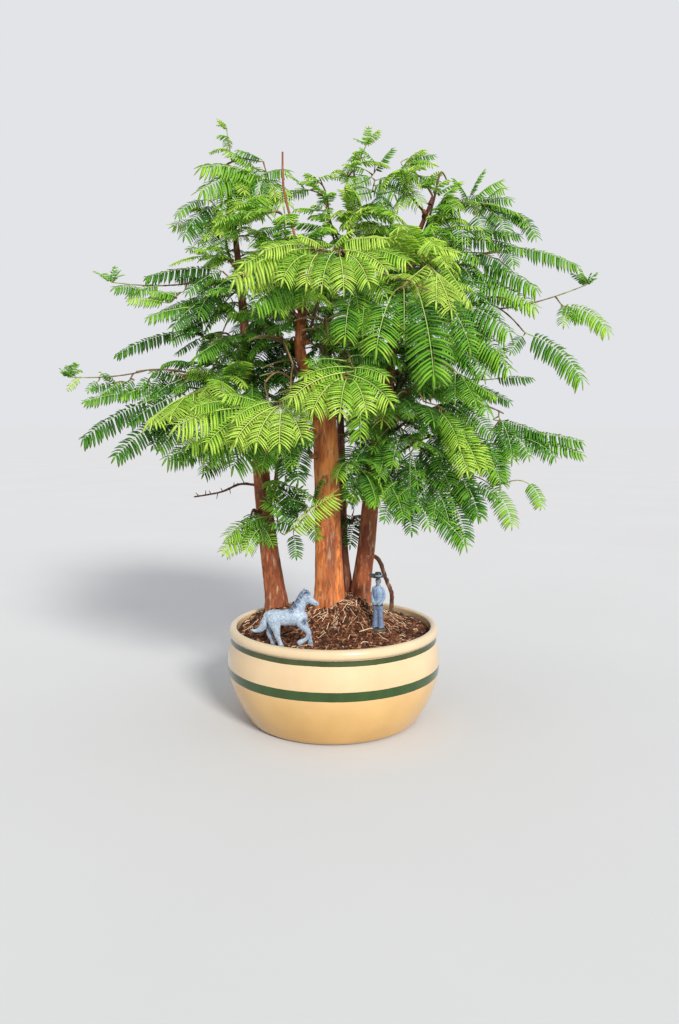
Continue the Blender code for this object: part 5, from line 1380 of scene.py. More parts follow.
def hang_below(shoot, first, last, count, length, hang, dice):
    """Fronds that hang from a shoot's twig with their faces to the front."""
    for step in range(count):
        share = first + (last - first) * (step + dice.uniform(0.2, 0.8)) / count
        turn = radians(dice.uniform(*HANGING_TURN))
        pitch = radians(dice.uniform(*HANGING_PITCH))
        bend = pitch + radians(hang * dice.uniform(*HANGING_BENDS))
        frond = new_frond(on_twig(shoot.twigs[0][0], share), turn, pitch, bend,
                          length * dice.uniform(*HANGING_LENGTHS), False, dice)
        if is_open(frond):
            shoot.fronds.append(frond)


def add_tuft_twig(shoot, share, tip, dice):
    """A thin twig from the shoot's twig to a tip, with a tuft on it and two pairs of short fronds."""
    start = on_twig(shoot.twigs[0][0], share)
    stem = [start, start.lerp(tip, 0.35) - UP * 5, tip.lerp(start, 0.3) - UP * 3, tip]
    shoot.sprigs.append(stem)
    shoot.fronds += tuft(tip, dice)
    for share, side in product(TUFT_PAIRS, (-1, 1)):
        turn = dice.uniform(0, HALF_TURN) * side
        length = dice.uniform(*TUFT_PAIR_LENGTH)
        shoot.fronds.append(new_frond(on_twig(stem, share), turn, 0.3, 0.8, length, False, dice))


def tufted_tip(frond, sprigs, dice):
    """In place of a leader's end frond, a straight twig with a tuft and a pair of short fronds."""
    start = frond.base
    tip = frond.at(LEADER_SHARE)[0]
    sprigs.append([start, start.lerp(tip, 0.35), start.lerp(tip, 0.7), tip])
    made = tuft(tip, dice)
    for side in (-1, 1):
        turn = frond.heading + side * dice.uniform(1.0, 1.9)
        made.append(new_frond(start.lerp(tip, 0.3), turn, 0.5, 0.8, dice.uniform(15, 22), False, dice))
    return made


def split_frond(frond, sprigs, fan, dice):
    """In place of a long end frond, a twig with smaller fronds that ends where the long frond ends."""
    branch = twig_along(frond, SPLIT_SHARE)
    sprigs.append(branch)
    rest = 1 - SPLIT_SHARE
    length = frond.length * rest
    made = [replace(frond, base=branch[3], pitch=frond.pitch - frond.bend * SPLIT_SHARE,
                    bend=frond.bend * rest, length=length, width=length * SPLIT_END_WIDTH)]
    for (share, size, spread), side in product(FAN_SIDES if fan else SPLIT_SIDES, (-1, 1)):
        spot, way, _, _ = frond.at(share)
        turn = frond.heading + side * radians(spread + dice.uniform(-SCATTER, SCATTER))
        pitch = asin(way.z) * FROND_FOLLOW + radians(dice.uniform(*(FAN_RISE if fan else SPLIT_RISE)))
        bend = pitch + frond.bend * dice.uniform(0.6, 1.1)
        reach = frond.length * size * dice.uniform(0.88, 1.12)
        beside = new_frond(spot, turn, pitch, bend, reach, False, dice)
        if is_open(beside):
            made.append(beside)
    return made


def refine(key, shoot, dice):
    """Shapes a shoot as the tables say: shorter, tufted, split, hanging, cleared and placed fronds."""
    placed = setting(PLACED, key, [])
    if placed and key[0] == "main":
        shoot.fronds = []
        place_by_hand(shoot, placed)
        return
    shorter = setting(SHORTER, key, 1.0)
    for frond in shoot.fronds:
        frond.length *= shorter
        frond.width *= shorter
    tuft_share, tuft_tip = setting(TUFT_TWIGS, key, (None, None))
    if tuft_tip:
        tuft_tip = Vector(tuft_tip)
        add_tuft_twig(shoot, tuft_share, tuft_tip, dice)
    made = []
    fan = key[1] in FAN_SHOOTS.get(key[0], ())
    for frond in shoot.fronds:
        slim = frond.width < SLIM_BELOW * frond.length
        if key in TUFT_LEADERS and frond.pitch - frond.bend / 2 > LEADER_LEAN:
            made += tufted_tip(frond, shoot.sprigs, dice) if slim else []
        elif slim and frond.length >= LONG_FROND and key not in WHOLE_SHOOTS:
            made += split_frond(frond, shoot.sprigs, fan, dice)
        else:
            made.append(frond)
    shoot.fronds = made
    hanging = setting(HANGING, key)
    if hanging:
        hang_below(shoot, *hanging, dice)
    cleared = setting(CLEARED, key)
    if cleared:
        start, _, _, end = shoot.twigs[0][0]
        most = cleared * (end - start).length
        shoot.fronds = [frond for frond in shoot.fronds if (frond.base - start).length < most]
        shoot.sprigs = [branch for branch in shoot.sprigs
                        if (branch[0] - start).length < most or branch[3] == tuft_tip]
        if tuft_tip:
            shoot.fronds += tuft(tuft_tip, dice)
    share = setting(AIRY, key, 1.0)
    shoot.fronds = [frond for frond in shoot.fronds if dice.random() < share]
    place_by_hand(shoot, placed)


def grow_crown(forest, walls, crowd):
    """Leafy sprigs straight from the trunks; each belongs to its trunk's shoot that is nearest."""
    for name, (low, high, spacing) in CROWN.items():
        dice = random.Random("crown " + name)
        turn = dice.uniform(0, FULL_TURN)
        for step in range(int((high - low) / spacing)):
            height = low + step * spacing
            share = (height - low) / (high - low)
            turn += radians(GOLDEN_TURN + dice.uniform(-CROWN_SCATTER, CROWN_SCATTER))
            centre, radius = trunk_at(CURVES[name], height)
            pitch = radians(dice.uniform(*CROWN_PITCH) * (0.6 + 0.5 * share))
            base = centre + Vector((cos(turn), sin(turn), 0.0)) * radius * 0.9
            reach = (CROWN_REACH[0] + (CROWN_REACH[1] - CROWN_REACH[0]) * share) * dice.uniform(0.7, 1.1)
            key = min((key for key in forest if key[0] == name),
                      key=lambda key: abs(SHOOTS[name][key[1] - 1][0] - height))
            room = (centre - Vector(CROWN_ROOM[0]), centre + Vector(CROWN_ROOM[1]))
            room[1].z = min(room[1].z, CURVES[name][-1][2] + CROWN_TOP)
            size = dice.uniform(*CROWN_FRONDS)
            branch, fronds = sprig([base] * 4, 0.0, turn, pitch, reach, CROWN_HANG, size, dice)
            if is_clear(stem_tree([branch[0].lerp(branch[3], 0.5), branch[3]], [1.0] * 2), walls):
                keep_sprig(forest[key], branch, fitted(fronds, walls, crowd, room, CROWN_CROSSINGS))


def dress_forest(forest):
    """Gives every shoot the fronds and sprigs of the finished tree."""
    walls = [trunk_tree(name) for name in TRUNKS]
    crowd = [(*frond.bounds(), sheet_solid(frond)) for shoot in forest.values() for frond in shoot.fronds]
    for key, shoot in forest.items():
        dice = random.Random(f"leaves {key[0]} {key[1]}")
        spots = [on_twig(twig, i / 80) for twig, _, _ in shoot.twigs for i in range(81)]
        for frond in shoot.fronds:
            frond.base = min(spots, key=lambda spot: (spot - frond.base).length)
        dress(key, shoot, walls, crowd, dice)
        refine(key, shoot, dice)
    grow_crown(forest, walls, crowd)


def make_foliage(name, number, shoot, materials):
    """A shoot's leafy piece, in the place of its solid."""
    key = (name, number)
    dice = random.Random(f"tints {name} {number}")
    skin = Skin()
    for frond in shoot.fronds:
        # Fronds nearer the front and the top get more youth: painted light where they face the lamp and
        # painted shade towards the back, as well as younger growth high in the crown
        front = share_of(-frond.base.y, *YOUNG_AND_LIT_TO_FRONT)
        high = share_of(frond.base.z, *YOUNG_AND_LIT_TO_TOP)
        usual = setting(YOUNG_SHOOTS, key, YOUTH) * (0.6 + 0.6 * front + 0.25 * high)
        young_and_shade = usual if frond.young_and_shade is None else frond.young_and_shade
        youth_and_shade = max(0.03, young_and_shade + dice.uniform(*YOUTH_VARIES))
        add_frond(skin, frond, youth_and_shade, WORN_SHARES[dice.random() >= 0.9], dice)
    slender = SLENDER[SHOOTS[name][number - 1][0] < LEADER_FROM]
    for twig, _, (thick, thin) in shoot.twigs:
        add_twig(skin, twig, (thick * slender, thin * 0.7), dice, 0.0 if thick == TWIG_RADIUS[0] else 0.2)
    for branch in shoot.sprigs:
        add_twig(skin, branch, SPRIG_RADIUS, dice, 0.35)
    label = f"{name}_{number:02d}"
    skin.replace_solid("foliage_" + label, materials, None, "shoot_" + label)


def bark_grain(route, heights, angles, seed):
    """How deep in a crack, and how rough, the bark is at each ring and angle."""
    cracks = np.zeros((len(route), len(angles)))
    fine = np.zeros(cracks.shape)
    for (i, z), (j, angle) in product(enumerate(heights), enumerate(angles)):
        x = cos(angle) * route[i, 3]
        y = sin(angle) * route[i, 3]
        warp = noise.noise((x * 0.07, y * 0.07, z * 0.02 + seed)) * 1.6
        strand = noise.noise((x * 0.42 + warp, y * 0.42 + warp, z * 0.018 + seed))
        peel = noise.noise((x * 0.16, y * 0.16, z * 0.05 + seed * 2))
        cracks[i, j] = max(0.0, 1.0 - abs(strand) * 8.0) * share_of(0.55 + peel * 1.6, 0, 1)
        fine[i, j] = noise.noise((x * 1.1, y * 1.1, z * 0.12 + seed)) + 0.9 * peel
    return cracks, fine


def bark_knots(route, angles, look):
    """How far a trunk's knots lift or sink its bark, and how close to a knot each point is."""
    depth = np.zeros((len(route), len(angles)))
    near = np.zeros(depth.shape)
    for level, facing, size in look["knots"]:
        turn = (angles[None] - radians(facing) + pi) % (2 * pi) - pi
        away = np.sqrt((turn * route[:, 3:]) ** 2 + ((route[:, 2:3] - level) * 0.85) ** 2) / size
        depth += 0.30 * size * np.exp(-((away - 0.85) / 0.40) ** 2)
        depth -= 0.10 * size * np.exp(-(away / 0.45) ** 2)
        near = np.maximum(near, np.exp(-((away - 1.35) / 0.28) ** 2))
    return depth, near


def bark_relief(route, angles, look):
    """Radii of a trunk at each ring and angle, and its cracks, knots and fine grain."""
    heights = np.concatenate([[0.0], np.cumsum(np.linalg.norm(np.diff(route[:, :3], axis=0), axis=1))])
    radius = route[:, 3:]
    above = np.maximum(heights - FOOT_DEPTH - 4.0, 0.0)[:, None]
    lobes = np.cos(angles[None] * look["lobes"] + look["seed"] + above * 0.012)
    lobes = lobes * 0.55 + 0.45 * np.cos(angles[None] * (look["lobes"] - 2) - look["seed"] * 2)
    swell = 1.0 + np.exp(-above / 16.0) * look["flare"] * (0.3 + 0.7 * lobes) + 0.03 * lobes
    cracks, fine = bark_grain(route, heights, angles, look["seed"])
    depth, knots = bark_knots(route, angles, look)
    rough = np.minimum(radius / 9.0, 1.0)
    reach = radius * look["girth"] * swell + rough * (0.32 * fine - 0.6 * cracks ** 1.3) + depth * rough
    return reach, cracks, knots, fine


def add_bark(skin, name):
    """A trunk's bark with its flare, cracks and knots; the main trunk's top is a dead, bare leader."""
    look = TRUNK_LOOK[name]
    x, y, z, radius = TRUNKS[name][0]
    route = smooth_route([(x, y, z - FOOT_DEPTH, radius), *TRUNKS[name]], RING_SPACING)
    reach, cracks, knots, fine = bark_relief(route, turns(look["sides"]), look)
    reach[0] = route[0, 3]
    if name == "main":
        bare = np.clip((route[:, 2:3] - LEADER_FROM) / LEADER_FADE, 0, 1)
        reach *= 1 - LEADER_THINNER * bare
        cracks = np.maximum(cracks, LEADER_THINNER * bare)
    points, faces = tube_skin(route[:, :3], route[:, 3], look["sides"], reach)
    dim = np.clip((route[:, 2:3] - DIM_FROM) / DIM_OVER, 0, 1)
    tone = look["tone"] * (1.0 - 0.6 * dim) + 0.12 * fine
    tints = np.stack([cracks, np.clip(tone, 0, 1), knots], -1).reshape(-1, 3)
    skin.add(points, faces, 0, np.concatenate([tints, [[0.5, look["tone"], 0.0]] * 2]))


def add_stub(skin, shoot, tone):
    """The thick foot of a shoot's twig, which swells where it meets the bark."""
    start = shoot.twigs[0][0][0]
    ahead = (on_twig(shoot.twigs[0][0], 0.03) - start).normalized()
    line = [shoot.centre, shoot.centre.lerp(start, 0.55), start - ahead * 1.2, start + ahead * 1.5]
    line = smooth_route([list(p) for p in line], 0.8)
    away = np.linalg.norm(line - np.array(shoot.centre), axis=1) - max(shoot.radius, 0.0)
    sizes = STUB_RADIUS * (0.93 + 0.55 * np.exp(-np.maximum(away, 0) / 1.6))
    points, faces = tube_skin(line, sizes, STUB_SIDES)
    skin.add(points, faces, 0, (0.35, tone * 0.7, 0.25))


def add_bare_wood(skin, wood, thick, thin, seed, dice):
    """A bare, crooked branch or root; a thin twig also has spurs."""
    line = smooth_route([list(p) for p in wood], 1.6)
    bump = np.array([noise.noise((k * 0.55, seed, thick)) for k in range(len(line))])
    slim = HIGH_WOOD_SLIMMER if wood[-1][2] > HIGH_WOOD else WOOD_SLIMMER
    sizes = slim * (thick + (thin - thick) * np.linspace(0, 1, len(line))) * (1.0 + 0.22 * bump)
    line[1:-1] += 0.35 * thick * np.stack([bump, bump[::-1], 0.5 * bump], -1)[1:-1]
    points, faces = tube_skin(line, sizes, WOOD_SIDES)
    skin.add(points, faces, 0, (0.3, 0.05, 0.1))
    for k in range(SPURS if thick < SPURS_BELOW else 0):
        start = Vector(line[int(len(line) * (0.25 + 0.08 * k)) % (len(line) - 2)])
        way = Vector((dice.uniform(-0.6, 0.2), dice.uniform(-0.5, 0.5), dice.uniform(-1, 1))).normalized()
        end = start + way * dice.uniform(2.5, 7)
        points, faces = tube_skin([start, start.lerp(end, 0.5), end], [0.5, 0.42, 0.3], 6)
        skin.add(points, faces, 0, (0.5, 0.15, 0.2))


def make_trunk(name, forest, material):
    """A trunk with the stubs of its shoots and its bare wood."""
    look = TRUNK_LOOK[name]
    skin = Skin()
    add_bark(skin, name)
    for (owner, _), shoot in forest.items():
        if owner == name:
            add_stub(skin, shoot, look["tone"])
    dice = random.Random("wood " + name)
    for wood, thick, thin in BARE_WOOD[name]:
        add_bare_wood(skin, wood, thick, thin, look["seed"], dice)
    skin.replace_solid("bark_" + name, [material], 60, "trunk_" + name)


class Nodes:
    """A short way to make and join a material's nodes. A colour is three values, or one for a grey."""

    def __init__(self, name):
        self.material = bpy.data.materials.new(name)
        self.material.use_nodes = True
        self.tree = self.material.node_tree
        self.shader = self.tree.nodes["Principled BSDF"]

    def put(self, socket, value):
        if isinstance(value, bpy.types.NodeSocket):
            self.tree.links.new(value, socket)
        elif socket.type == "RGBA":
            socket.default_value = self.full(value)
        else:
            socket.default_value = value

    def full(self, colour):
        return (*colour, 1.0) if isinstance(colour, tuple) else (colour, colour, colour, 1.0)

    def set(self, node, values):
        for key, value in values.items():
            self.put(node.inputs[key], value)

    def new(self, kind, values=None, **settings):
        node = self.tree.nodes.new("ShaderNode" + kind)
        for key, value in settings.items():
            setattr(node, key, value)
        self.set(node, values or {})
        return node

    def object_point(self, scale=(1.0, 1.0, 1.0)):
        place = self.new("TexCoord").outputs["Object"]
        return self.new("Mapping", {"Vector": place, "Scale": scale}).outputs[0]

    def height(self):
        return self.new("SeparateXYZ", {"Vector": self.object_point()}).outputs["Z"]

    def noise(self, scale, detail=4.0, stretch=1.0, rough=0.55, warp=0.0):
        place = self.object_point((1.0, 1.0, stretch))
        node = self.new("TexNoise", {"Vector": place, "Scale": scale, "Detail": detail, "Roughness": rough,
                                     "Distortion": warp})
        return node.outputs["Fac"]

    def ramp(self, value, *stops):
        node = self.new("ValToRGB", {"Fac": value})
        elements = node.color_ramp.elements
        while len(elements) < len(stops):
            elements.new(0.5)
        for element, (place, colour) in zip(elements, stops):
            element.position = place
            element.color = self.full(colour)
        return node.outputs["Color"]

    def mix(self, share, first, second, how="MIX"):
        node = self.new("Mix", {0: share, 6: first, 7: second}, data_type="RGBA", blend_type=how)
        return node.outputs[2]

    def times(self, first, second):
        return self.mix(1.0, first, second, "MULTIPLY")

    def math(self, how, *values):
        return self.new("Math", dict(enumerate(values)), operation=how).outputs[0]

    def tint(self):
        paint = self.new("Attribute", attribute_name="tint").outputs["Color"]
        parts = self.new("SeparateColor", {"Color": paint})
        return parts.outputs[0], parts.outputs[1], parts.outputs[2]

    def finish(self, colour, rough, relief, strength, distance, specular=0.5):
        """Gives the shader its colour, roughness, bump and specular level."""
        bump = self.new("Bump", {"Height": relief, "Strength": strength, "Distance": distance})
        self.set(self.shader, {"Base Color": colour, "Roughness": rough, "Specular IOR Level": specular,
                               "Normal": bump.outputs["Normal"]})
        return self.material


def leaf_material():
    """Green to yellow with youth, which also carries painted light and shade, orange where worn, and lit
    through from behind.
    """
    n = Nodes("leaf")
    youth_and_shade, chance, along = n.tint()
    colour = n.ramp(youth_and_shade, (0.0, (0.012, 0.080, 0.008)), (0.2, (0.050, 0.240, 0.020)),
                    (0.42, (0.200, 0.530, 0.038)), (0.65, (0.460, 0.800, 0.070)),
                    (0.82, (0.700, 0.930, 0.150)), (0.97, (0.600, 0.320, 0.090)))
    mottle = n.math("MULTIPLY_ADD", n.noise(260.0, 3.0), 0.35, 0.82)
    shade = n.math("MULTIPLY", n.math("MULTIPLY_ADD", chance, 0.35, 0.82), mottle)
    colour = n.times(colour, n.ramp(shade, (0.0, 0), (1.0, 1)))
    colour = n.mix(n.math("MULTIPLY", along, 0.18), colour, (0.36, 0.55, 0.10))
    n.finish(colour, 0.42, n.noise(900.0, 2.0), 0.15, 0.0002, 0.32)
    through = n.new("BsdfTranslucent", {"Color": n.mix(0.35, colour, (0.40, 0.75, 0.06))})
    both = n.new("MixShader", {0: 0.28, 1: n.shader.outputs[0], 2: through.outputs[0]})
    n.set(n.tree.nodes["Material Output"], {"Surface": both.outputs[0]})
    return n.material


def rachis_material():
    n = Nodes("rachis")
    # The rachis takes its frond's youth, with its painted light and shade
    youth_and_shade, chance, _ = n.tint()
    colour = n.ramp(youth_and_shade, (0.0, (0.13, 0.28, 0.05)), (0.4, (0.36, 0.58, 0.12)), (0.8, (0.62, 0.72, 0.20)))
    colour = n.mix(n.math("MULTIPLY", chance, 0.15), colour, (0.44, 0.24, 0.10))
    colour = n.mix(n.math("MULTIPLY", n.noise(500.0), 0.4), colour, (0.34, 0.42, 0.12))
    return n.finish(colour, 0.5, n.noise(700.0), 0.2, 0.0002)


def twig_material():
    """Brown near the trunk and green at the tip."""
    n = Nodes("twig")
    share, _, _ = n.tint()
    colour = n.ramp(share, (0.0, (0.085, 0.035, 0.022)), (0.45, (0.16, 0.075, 0.035)),
                    (0.8, (0.26, 0.19, 0.07)), (1.0, (0.30, 0.36, 0.10)))
    patch = n.ramp(n.noise(220.0, 5.0), (0.35, 0.55), (0.7, (1.2, 1.15, 1.05)))
    return n.finish(n.times(colour, patch), 0.75, n.noise(420.0, 4.0), 0.5, 0.0004)


def bark_material():
    """Peeling red-brown bark: the tint holds its cracks, its own tone and its knots."""
    n = Nodes("bark")
    crack, tone, knot = n.tint()
    streak = n.noise(90.0, 6.0, 0.09, 0.62, 0.4)
    patch = n.noise(26.0, 4.0, 0.35, 0.55, 0.4)
    sheet = n.noise(48.0, 7.0, 0.3, 0.7, 0.9)
    fine = n.noise(240.0, 5.0, 0.25, 0.65)
    warm = n.ramp(n.math("MULTIPLY_ADD", patch, 0.8, n.math("MULTIPLY_ADD", tone, 0.5, -0.15)),
                  (0.18, (0.080, 0.028, 0.014)), (0.36, (0.26, 0.078, 0.028)), (0.54, (0.56, 0.168, 0.046)),
                  (0.72, (0.88, 0.320, 0.080)), (0.9, (0.95, 0.500, 0.190)))
    red = n.times(warm, (0.56, 0.40, 0.40))
    low = n.ramp(n.math("MULTIPLY", n.height(), 5.0), (0.5, 0.5), (0.95, 0))
    warm = n.mix(low, warm, n.times(warm, (0.80, 0.62, 0.62)))
    colour = n.mix(n.ramp(sheet, (0.45, 0.9), (0.52, 0)), warm, red)
    colour = n.mix(n.ramp(streak, (0.33, 0.75), (0.52, 0)), colour, (0.13, 0.048, 0.026))
    colour = n.mix(n.ramp(fine, (0.53, 0), (0.70, 0.65)), colour, (0.66, 0.40, 0.25))
    colour = n.mix(n.math("MULTIPLY", crack, 0.8), colour, (0.045, 0.022, 0.015))
    colour = n.mix(n.math("MULTIPLY", knot, 0.75), colour, (0.05, 0.028, 0.02))
    relief = n.math("ADD", n.math("MULTIPLY", streak, 0.6), n.math("MULTIPLY_ADD", sheet, 0.5, fine))
    return n.finish(colour, 0.72, relief, 0.75, 0.0012, 0.35)


def soil_material():
    n = Nodes("soil")
    fibre = n.noise(150.0, 8.0, 1.0, 0.7, 1.5)
    lump = n.noise(55.0, 6.0)
    colour = n.ramp(fibre, (0.30, (0.008, 0.003, 0.002)), (0.45, (0.050, 0.016, 0.007)),
                    (0.56, (0.200, 0.072, 0.032)), (0.68, (0.50, 0.280, 0.160)))
    colour = n.mix(n.ramp(lump, (0.45, 0), (0.75, 0.4)), colour, (0.06, 0.028, 0.016))
    return n.finish(colour, 0.95, n.math("ADD", fibre, lump), 1.0, 0.002, 0.15)


def litter_material():
    """Straws, roots and crumbs: the tint's red is the kind, from dark crumb to pale straw."""
    n = Nodes("litter")
    kind, chance, _ = n.tint()
    colour = n.ramp(kind, (0.0, (0.010, 0.005, 0.004)), (0.3, (0.055, 0.019, 0.009)),
                    (0.55, (0.25, 0.090, 0.040)), (0.8, (0.66, 0.40, 0.23)), (1.0, (0.95, 0.76, 0.54)))
    light = n.math("MULTIPLY_ADD", n.noise(400.0), 0.5, n.math("MULTIPLY_ADD", chance, 0.5, 0.3))
    colour = n.times(colour, n.ramp(light, (0.0, 0), (1.0, 1.2)))
    return n.finish(colour, 0.85, n.noise(600.0, 5.0), 0.6, 0.0004)


def glaze_material():
    """Cream glaze, paler at the lip and warmer low down, with two green bands drawn by height."""
    n = Nodes("glaze")
    wobble = n.math("MULTIPLY_ADD", n.noise(14.0, 2.0), 0.0011, -0.00055)
    height = n.math("ADD", n.height(), n.math("MULTIPLY_ADD", n.noise(420.0, 3.0), 0.0005, wobble))
    cream = n.ramp(n.math("MULTIPLY", height, 10.0),
                   (0.02, (0.55, 0.325, 0.105)), (0.30, (0.62, 0.385, 0.140)), (0.46, (0.64, 0.41, 0.175)),
                   (0.53, (0.66, 0.485, 0.285)), (0.76, (0.66, 0.49, 0.295)), (0.90, (0.64, 0.505, 0.325)))
    colour = n.times(cream, n.ramp(n.noise(22.0, 5.0), (0.3, (0.90, 0.88, 0.84)), (0.7, 1.05)))
    depth = n.ramp(n.noise(60.0, 5.0, 0.2), (0.35, 0), (0.7, 0.55))
    for high, low, green in BANDS:
        above = n.math("GREATER_THAN", height, low * MM)
        inside = n.math("MULTIPLY", above, n.math("LESS_THAN", height, high * MM))
        paler = tuple(channel * 1.9 + 0.01 for channel in green)
        colour = n.mix(inside, colour, n.mix(depth, green, paler))
    specks = n.new("TexVoronoi", {"Vector": n.object_point(), "Scale": 75.0}).outputs["Distance"]
    rare = n.ramp(n.noise(16.0, 1.0), (0.60, 0), (0.66, 1))
    colour = n.mix(n.times(n.ramp(specks, (0.035, 0.85), (0.06, 0)), rare), colour, (0.20, 0.09, 0.035))
    n.set(n.shader, {"Coat Weight": 0.35, "Coat Roughness": 0.06})
    rough = n.math("MULTIPLY_ADD", n.noise(90.0), 0.10, 0.13)
    return n.finish(colour, rough, n.noise(34.0, 3.0), 0.05, 0.002)


def toy_material():
    """Worn pale blue plastic; the tint is the paint's own colour."""
    n = Nodes("toy")
    paint = n.new("Attribute", attribute_name="tint").outputs["Color"]
    worn = n.ramp(n.noise(620.0, 6.0, 1.0, 0.7), (0.38, (0.62, 0.66, 0.74)), (0.60, (1.18, 1.16, 1.12)))
    cloud = n.ramp(n.noise(120.0, 4.0), (0.35, (0.82, 0.86, 0.92)), (0.65, (1.1, 1.1, 1.08)))
    return n.finish(n.times(n.times(paint, worn), cloud), 0.48, n.noise(800.0, 5.0), 0.35, 0.0004, 0.4)


def make_bowl():
    """The bowl, turned from its inner floor over the lip and down the outer wall to the foot."""
    lip = smooth_route(BOWL_LIP, 0.5)
    wall = smooth_route(BOWL_WALL, 1.2)[1:]
    angles = turns(BOWL_TURNS)
    wave = 1.0 + BOWL_WAVER * (np.sin(angles * 2 + 0.7) + 0.6 * np.sin(angles * 3 + 2.0))
    profile = np.concatenate([[(0.0, BOWL_FLOOR_HEIGHT), *BOWL_INSIDE], lip, wall, BOWL_FOOT])
    skin = Skin()
    skin.add(*turned(profile, BOWL_TURNS, wave), 0, (0.5, 0.5, 0.5))
    skin.replace_solid("bowl_glazed", [glaze_material()], 50, "bowl")


def ground(x, y):
    """Height of the finished soil: the solid's surface with lumps and crumbs."""
    lump = noise.noise((x * 0.10, y * 0.10, 3.0)) * 1.3 + noise.noise((x * 0.32, y * 0.32, 7.0)) * 0.8
    return soil_height(x, y) + lump + noise.noise((x * 0.9, y * 0.9, 11.0)) * 0.55


def add_crumbs(skin, dice):
    """Lopsided eight-sided crumbs, turned at random, all over the soil."""
    ball = [[sign * (axis == k) for k in range(3)] for axis in range(3) for sign in (-1.0, 1.0)]
    faces = np.array([(1, 3, 5), (3, 0, 5), (0, 2, 5), (2, 1, 5), (3, 1, 4), (0, 3, 4), (2, 0, 4), (1, 2, 4)])
    for _ in range(CRUMBS):
        r = CRUMB_REACH * sqrt(dice.random())
        a = dice.uniform(0, 2 * pi)
        x, y = r * cos(a), r * sin(a)
        size = dice.choice(CRUMB_SIZES) * dice.uniform(0.8, 1.5)
        shape = np.array(ball) * [dice.uniform(0.6, 1.5) for _ in range(3)] * size
        shape += [[dice.uniform(-0.3, 0.3) * size for _ in range(3)] for _ in range(6)]
        angle = dice.uniform(0, FULL_TURN)
        turn = np.array(Matrix.Rotation(angle, 3, Vector((dice.random(), dice.random(), 1.0))))
        skin.add(shape @ turn.T + [x, y, ground(x, y) + size * 0.2], [faces], 1,
                 (dice.choice((0.05, 0.15, 0.3, 0.42, 0.6)), dice.random(), 0.0))


def straw_line(x, y, way, length, curl, dice):
    """A curled line on the soil from a place, cut short at the bowl's wall."""
    line = []
    for k in range(6):
        line.append((x, y, ground(x, y) + 0.35 + 0.9 * sin(k * 1.1) * dice.random()))
        step = length / 5
        way += curl * step
        x += cos(way) * step
        y += sin(way) * step
        if hypot(x, y) > SOIL_REACH:
            break
    return line


def add_straws(skin, dice):
    """Straws and fine roots, most of them leading away from the trunks."""
    for _ in range(STRAWS):
        near = dice.random() < 0.6
        cx, cy = dice.choice(STRAW_CENTRES) if near else (0, 0)
        a = dice.uniform(0, 2 * pi)
        r = dice.uniform(12, 46) if near else STRAW_REACH * sqrt(dice.random())
        x, y = cx + r * cos(a), cy + r * sin(a)
        if hypot(x, y) > STRAW_REACH:
            continue
        way = a + dice.uniform(-0.7, 0.7) if near else dice.uniform(0, FULL_TURN)
        length = dice.uniform(4, 12) * (2.0 if dice.random() < 0.22 else 1.0)
        line = straw_line(x, y, way, length, dice.uniform(-0.06, 0.06), dice)
        if len(line) >= 4:
            points, faces = tube_skin(line, [dice.uniform(0.16, 0.34)] * len(line), 4)
            skin.add(points, faces, 1, (dice.choice((0.45, 0.6, 0.75, 0.85, 0.97)), dice.random(), 0.0))


def make_soil():
    """The soil with its lumps, crumbs and straws, a little inside the bowl's wall."""
    top = [(r, 0) for r in np.linspace(*SOIL_RINGS)]
    wall = [(r - GAP * 2, z) for r, z in reversed(BOWL_INSIDE[1:])]
    floor = [(BOWL_INSIDE[0][0] - GAP * 2, BOWL_FLOOR_HEIGHT + GAP), (0, BOWL_FLOOR_HEIGHT + GAP)]
    points, faces = turned([(0, 0), *top, *wall, *floor], SOIL_TURNS)
    for i in (*range(len(top) * SOIL_TURNS), -2):
        points[i, 2] = ground(points[i, 0], points[i, 1])
    skin = Skin()
    skin.add(points, faces, 0, (0.2, 0.5, 0.0))
    dice = random.Random("crumbs")
    add_crumbs(skin, dice)
    add_straws(skin, dice)
    skin.replace_solid("soil_and_litter", [soil_material(), litter_material()], 60, "soil")


def rounded(rows, steps=4):
    """A limb's route with half-round ends, as (x, y, z, radius)."""
    route = smooth_route(rows, 0.8)
    ends = []
    for spot, way in ((route[0], route[0, :3] - route[1, :3]), (route[-1], route[-1, :3] - route[-2, :3])):
        way = way / np.linalg.norm(way)
        ends.append([np.append(spot[:3] + way * spot[3] * sin(a), spot[3] * cos(a))
                     for a in np.linspace(0.3, 1.4, steps)])
    return np.concatenate([ends[0][::-1], route, ends[1]])


def limb(rows, wide):
    """A closed limb, wider or narrower across its plane."""
    route = rounded(rows)
    angles = turns(LIMB_SIDES)
    reach = route[:, 3:] / np.sqrt((np.cos(angles) / wide) ** 2 + np.sin(angles) ** 2)[None]
    return tube_skin(route[:, :3], route[:, 3], LIMB_SIDES, reach)


def ball(place, radii):
    angles = np.linspace(0.12, pi - 0.12, 11)
    spots = np.stack([0 * angles, 0 * angles, np.cos(angles)], -1)
    points, faces = tube_skin(spots, np.sin(angles), BALL_SIDES)
    return points * np.array(radii) + np.array(place), faces


def sculpt(shells, voxel, rounds):
    """One smooth closed skin round overlapping closed shells: points in millimetres and faces."""
    skin = Skin()
    for points, faces in shells:
        skin.add(points, faces, 0, (0, 0, 0))
    rough = skin.make("rough", [])
    remesh = rough.modifiers.new("Remesh", "REMESH")
    remesh.mode = "VOXEL"
    remesh.voxel_size = voxel * MM
    smooth = rough.modifiers.new("Smooth", "SMOOTH")
    smooth.factor = 0.5
    smooth.iterations = rounds
    graph = bpy.context.evaluated_depsgraph_get()
    mesh = bpy.data.meshes.new_from_object(rough.evaluated_get(graph))
    points = np.empty(len(mesh.vertices) * 3)
    mesh.vertices.foreach_get("co", points)
    quads = np.array([face.vertices[:] for face in mesh.polygons])
    bpy.data.objects.remove(rough)
    bpy.data.meshes.remove(mesh)
    return points.reshape(-1, 3) / MM, quads


